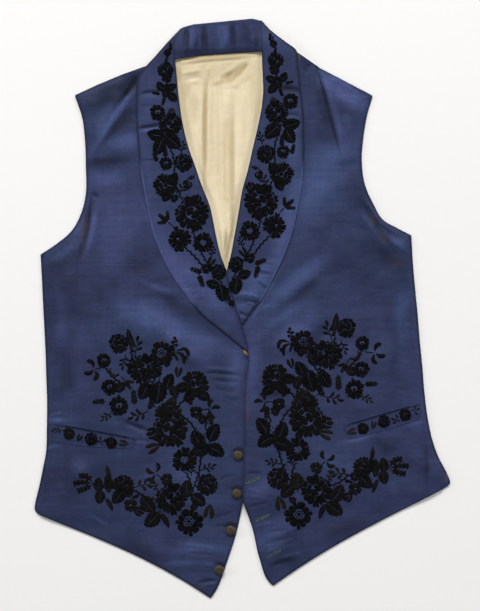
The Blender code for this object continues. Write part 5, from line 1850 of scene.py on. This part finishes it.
def make_buttons(finish):
    """Covered buttons: a dome wrapped in thread, drawn in to a small boss in the middle."""
    turns = np.linspace(0.0, 2.0 * np.pi, BUTTON_AROUND, endpoint=False)
    for number in range(1, BUTTON_COUNT + 1):
        low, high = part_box(f"button_{number}")
        centre = (low + high) / 2.0
        radius, height = (high.x - low.x) / 2.0, high.z - low.z
        rings = []
        for share, rise in BUTTON_PROFILE:
            ribs = BUTTON_RIB * np.sin(BUTTON_WRAPS * turns + BUTTON_WIND * share)
            ribs *= smooth((share - BUTTON_BOSS) / BUTTON_GROW)
            out = radius * share * (1.0 + BUTTON_SIDEWAYS * ribs)
            up = low.z + height * (rise + ribs * (rise > BUTTON_FOOT))
            x, y = centre.x + out * np.cos(turns), centre.y + out * np.sin(turns)
            rings.append(np.column_stack([x, y, up]))
        points = np.vstack(rings) / MM
        points[:, :2] -= CENTRE
        index = np.arange(len(points)).reshape(len(rings), BUTTON_AROUND)
        faces = quads(index, True).tolist() + [index[0, ::-1].tolist(), index[-1].tolist()]
        button = add_mesh(f"button_{number}_cover", points, faces, [finish])
        settle(button, f"button_{number}")


def make_buttonholes(looks):
    """Worked buttonholes: a bar of close stitches on each side of a slit, whose shade is a painted dark pad.
    """
    draw = np.random.default_rng(11)
    worked, slits = [], []
    for hole in BUTTONHOLES:
        start, end = np.array((hole.x0, hole.y0)), np.array((hole.x1, hole.y1))
        run = unit(end - start)
        side = np.array((-run[1], run[0]))
        slits.append(blade([start, (start + end) / 2, end], SLIT_HALF, EVEN))
        for number in range(HOLE_STITCHES):
            at = start + (end - start) * (number + 0.5) / HOLE_STITCHES
            for hand in (-1.0, 1.0):
                reach = (*HOLE_BAR, draw.uniform(*HOLE_REACH))
                worked.append(blade([at + side * hand * out for out in reach], HOLE_HALF, OVAL))
        # Three longer stitches fan out at each end.
        for at, hand in ((start, -1.0), (end, 1.0)):
            for lean in END_LEANS:
                ahead = END_REACH - END_SHORTER * abs(lean)
                tip = at + run * hand * ahead + side * lean * END_ASIDE
                worked.append(blade([at, (at + tip) / 2, tip], END_HALF, OVAL))
    sewn = raise_pads("buttonhole_stitches", "front_left", plain(worked), HOLE_HEIGHT, looks["green"])
    # The dark pad in each slit is painted shade.
    cuts = raise_pads("buttonhole_slit_shade", "front_left", plain(slits), SLIT_HEIGHT, looks["slit"])
    return [sewn, cuts]


def make_frays(finish):
    draw = np.random.default_rng(5)
    strands = []
    for fray in FRAYS:
        for number in range(fray.count):
            lean = fray.spread * ((number + 0.5) / fray.count - 0.5) + draw.uniform(-FRAY_LEAN, FRAY_LEAN)
            start = np.array((fray.x, fray.y)) + draw.uniform(-FRAY_START, FRAY_START, 2)
            length = fray.length * draw.uniform(*FRAY_LENGTHS)
            tip = start + heading(fray.heading + lean) * length
            middle = (start + tip) / 2 + draw.uniform(-FRAY_BEND, FRAY_BEND, 2)
            strands.append(blade([start, middle, tip], FRAY_HALF, EVEN))
    return raise_pads("frayed_thread", "front_left", plain(strands), FRAY_HEIGHT, finish)


def make_stage():
    """A pale floor, soft lights and a camera straight above."""
    scene = bpy.context.scene
    scene.view_settings.view_transform = "Standard"
    mesh = bpy.data.meshes.new("floor")
    corners = [(x * FLOOR_HALF, y * FLOOR_HALF, FLOOR_Z) for x, y in ((-1, -1), (1, -1), (1, 1), (-1, 1))]
    mesh.from_pydata(corners, [], [(0, 1, 2, 3)])
    mesh.materials.append(floor_paper("floor_paper"))
    link("floor", mesh)

    scene.world = bpy.data.worlds.new("studio")
    scene.world.use_nodes = True
    background = scene.world.node_tree.nodes["Background"]
    background.inputs["Color"].default_value = (1.0, 1.0, 1.0, 1.0)
    background.inputs["Strength"].default_value = WORLD_LIGHT

    for name, place, size, power in LIGHTS:
        lamp = bpy.data.lights.new(name, "AREA")
        lamp.shape = "DISK"
        lamp.size = size
        lamp.energy = power
        light = link(name, lamp)
        light.location = place
        light.rotation_euler = Vector(place).to_track_quat("Z", "Y").to_euler()

    lens = bpy.data.cameras.new("camera")
    lens.sensor_fit = "VERTICAL"
    lens.sensor_height = SENSOR
    lens.lens = SENSOR * CAMERA_HEIGHT / VIEW_TALL
    scene.camera = link("camera", lens)
    scene.camera.location = (VIEW_X, VIEW_Y, CAMERA_HEIGHT)


def build():
    looks = {
        # Each silk has a painted shaded colour and a painted lit colour, then the brown of its stains.
        "silk": changeable_silk("navy_silk", linear(27, 32, 54), linear(67, 78, 121), linear(84, 70, 44)),
        "band_silk": changeable_silk(
            "navy_band_silk", linear(22, 29, 52), linear(60, 70, 112), linear(84, 70, 44)
        ),
        "dark_silk": thread("dark_navy_silk", linear(26, 32, 56), linear(16, 20, 38), 0.8, 0.04),
        "edge_silk": thread("edge_navy_silk", linear(46, 53, 84), linear(34, 40, 66), 0.8, 0.04),
        # The darker cream takes the lining's stains and its painted shade.
        "cream": plain_cotton("cream_cotton", linear(238, 223, 190), linear(176, 158, 116)),
        "tan": plain_cotton("tan_cotton", linear(176, 150, 112), linear(140, 112, 78)),
        "pile": cut_pile("velvet_pile"),
        "green": thread("green_thread", linear(100, 136, 104), linear(54, 78, 74)),
        "slit": thread("slit_shade", linear(16, 18, 28), linear(10, 12, 20)),
        "ochre": thread("ochre_thread", linear(150, 122, 62), linear(92, 74, 40)),
        "olive": thread("button_cloth", linear(68, 57, 39), linear(38, 31, 22), 0.42, 0.35),
    }
    # Each sheet of cloth, and the pieces that are sewn to it.
    lining = shell("back_lining", lining_grid(), [looks["cream"]], bulge=LINING_BULGE)
    back = shell("back_panel", back_grid(), [looks["tan"]], bulge=BACK_BULGE)
    pieces = {"back_lining": (lining, []), "back_panel": (back, [])}
    for side, hand in HANDS.items():
        pieces[f"front_{side}"] = make_front(f"front_{side}", hand, looks)
    for side, hand in HANDS.items():
        pieces[f"collar_{side}"] = make_half_collar(f"collar_{side}", hand, looks)
    band = shell("collar_back", band_grid(), [looks["band_silk"], looks["cream"]])
    pieces["collar_back"] = (band, [])
    for side in HANDS:
        pieces[f"welt_{side}"] = make_welt(f"welt_{side}", f"front_{side}", looks)
    make_buttons(looks["olive"])
    pieces["front_left"][1].extend(make_buttonholes(looks) + [make_frays(looks["ochre"])])
    make_stage()


build()
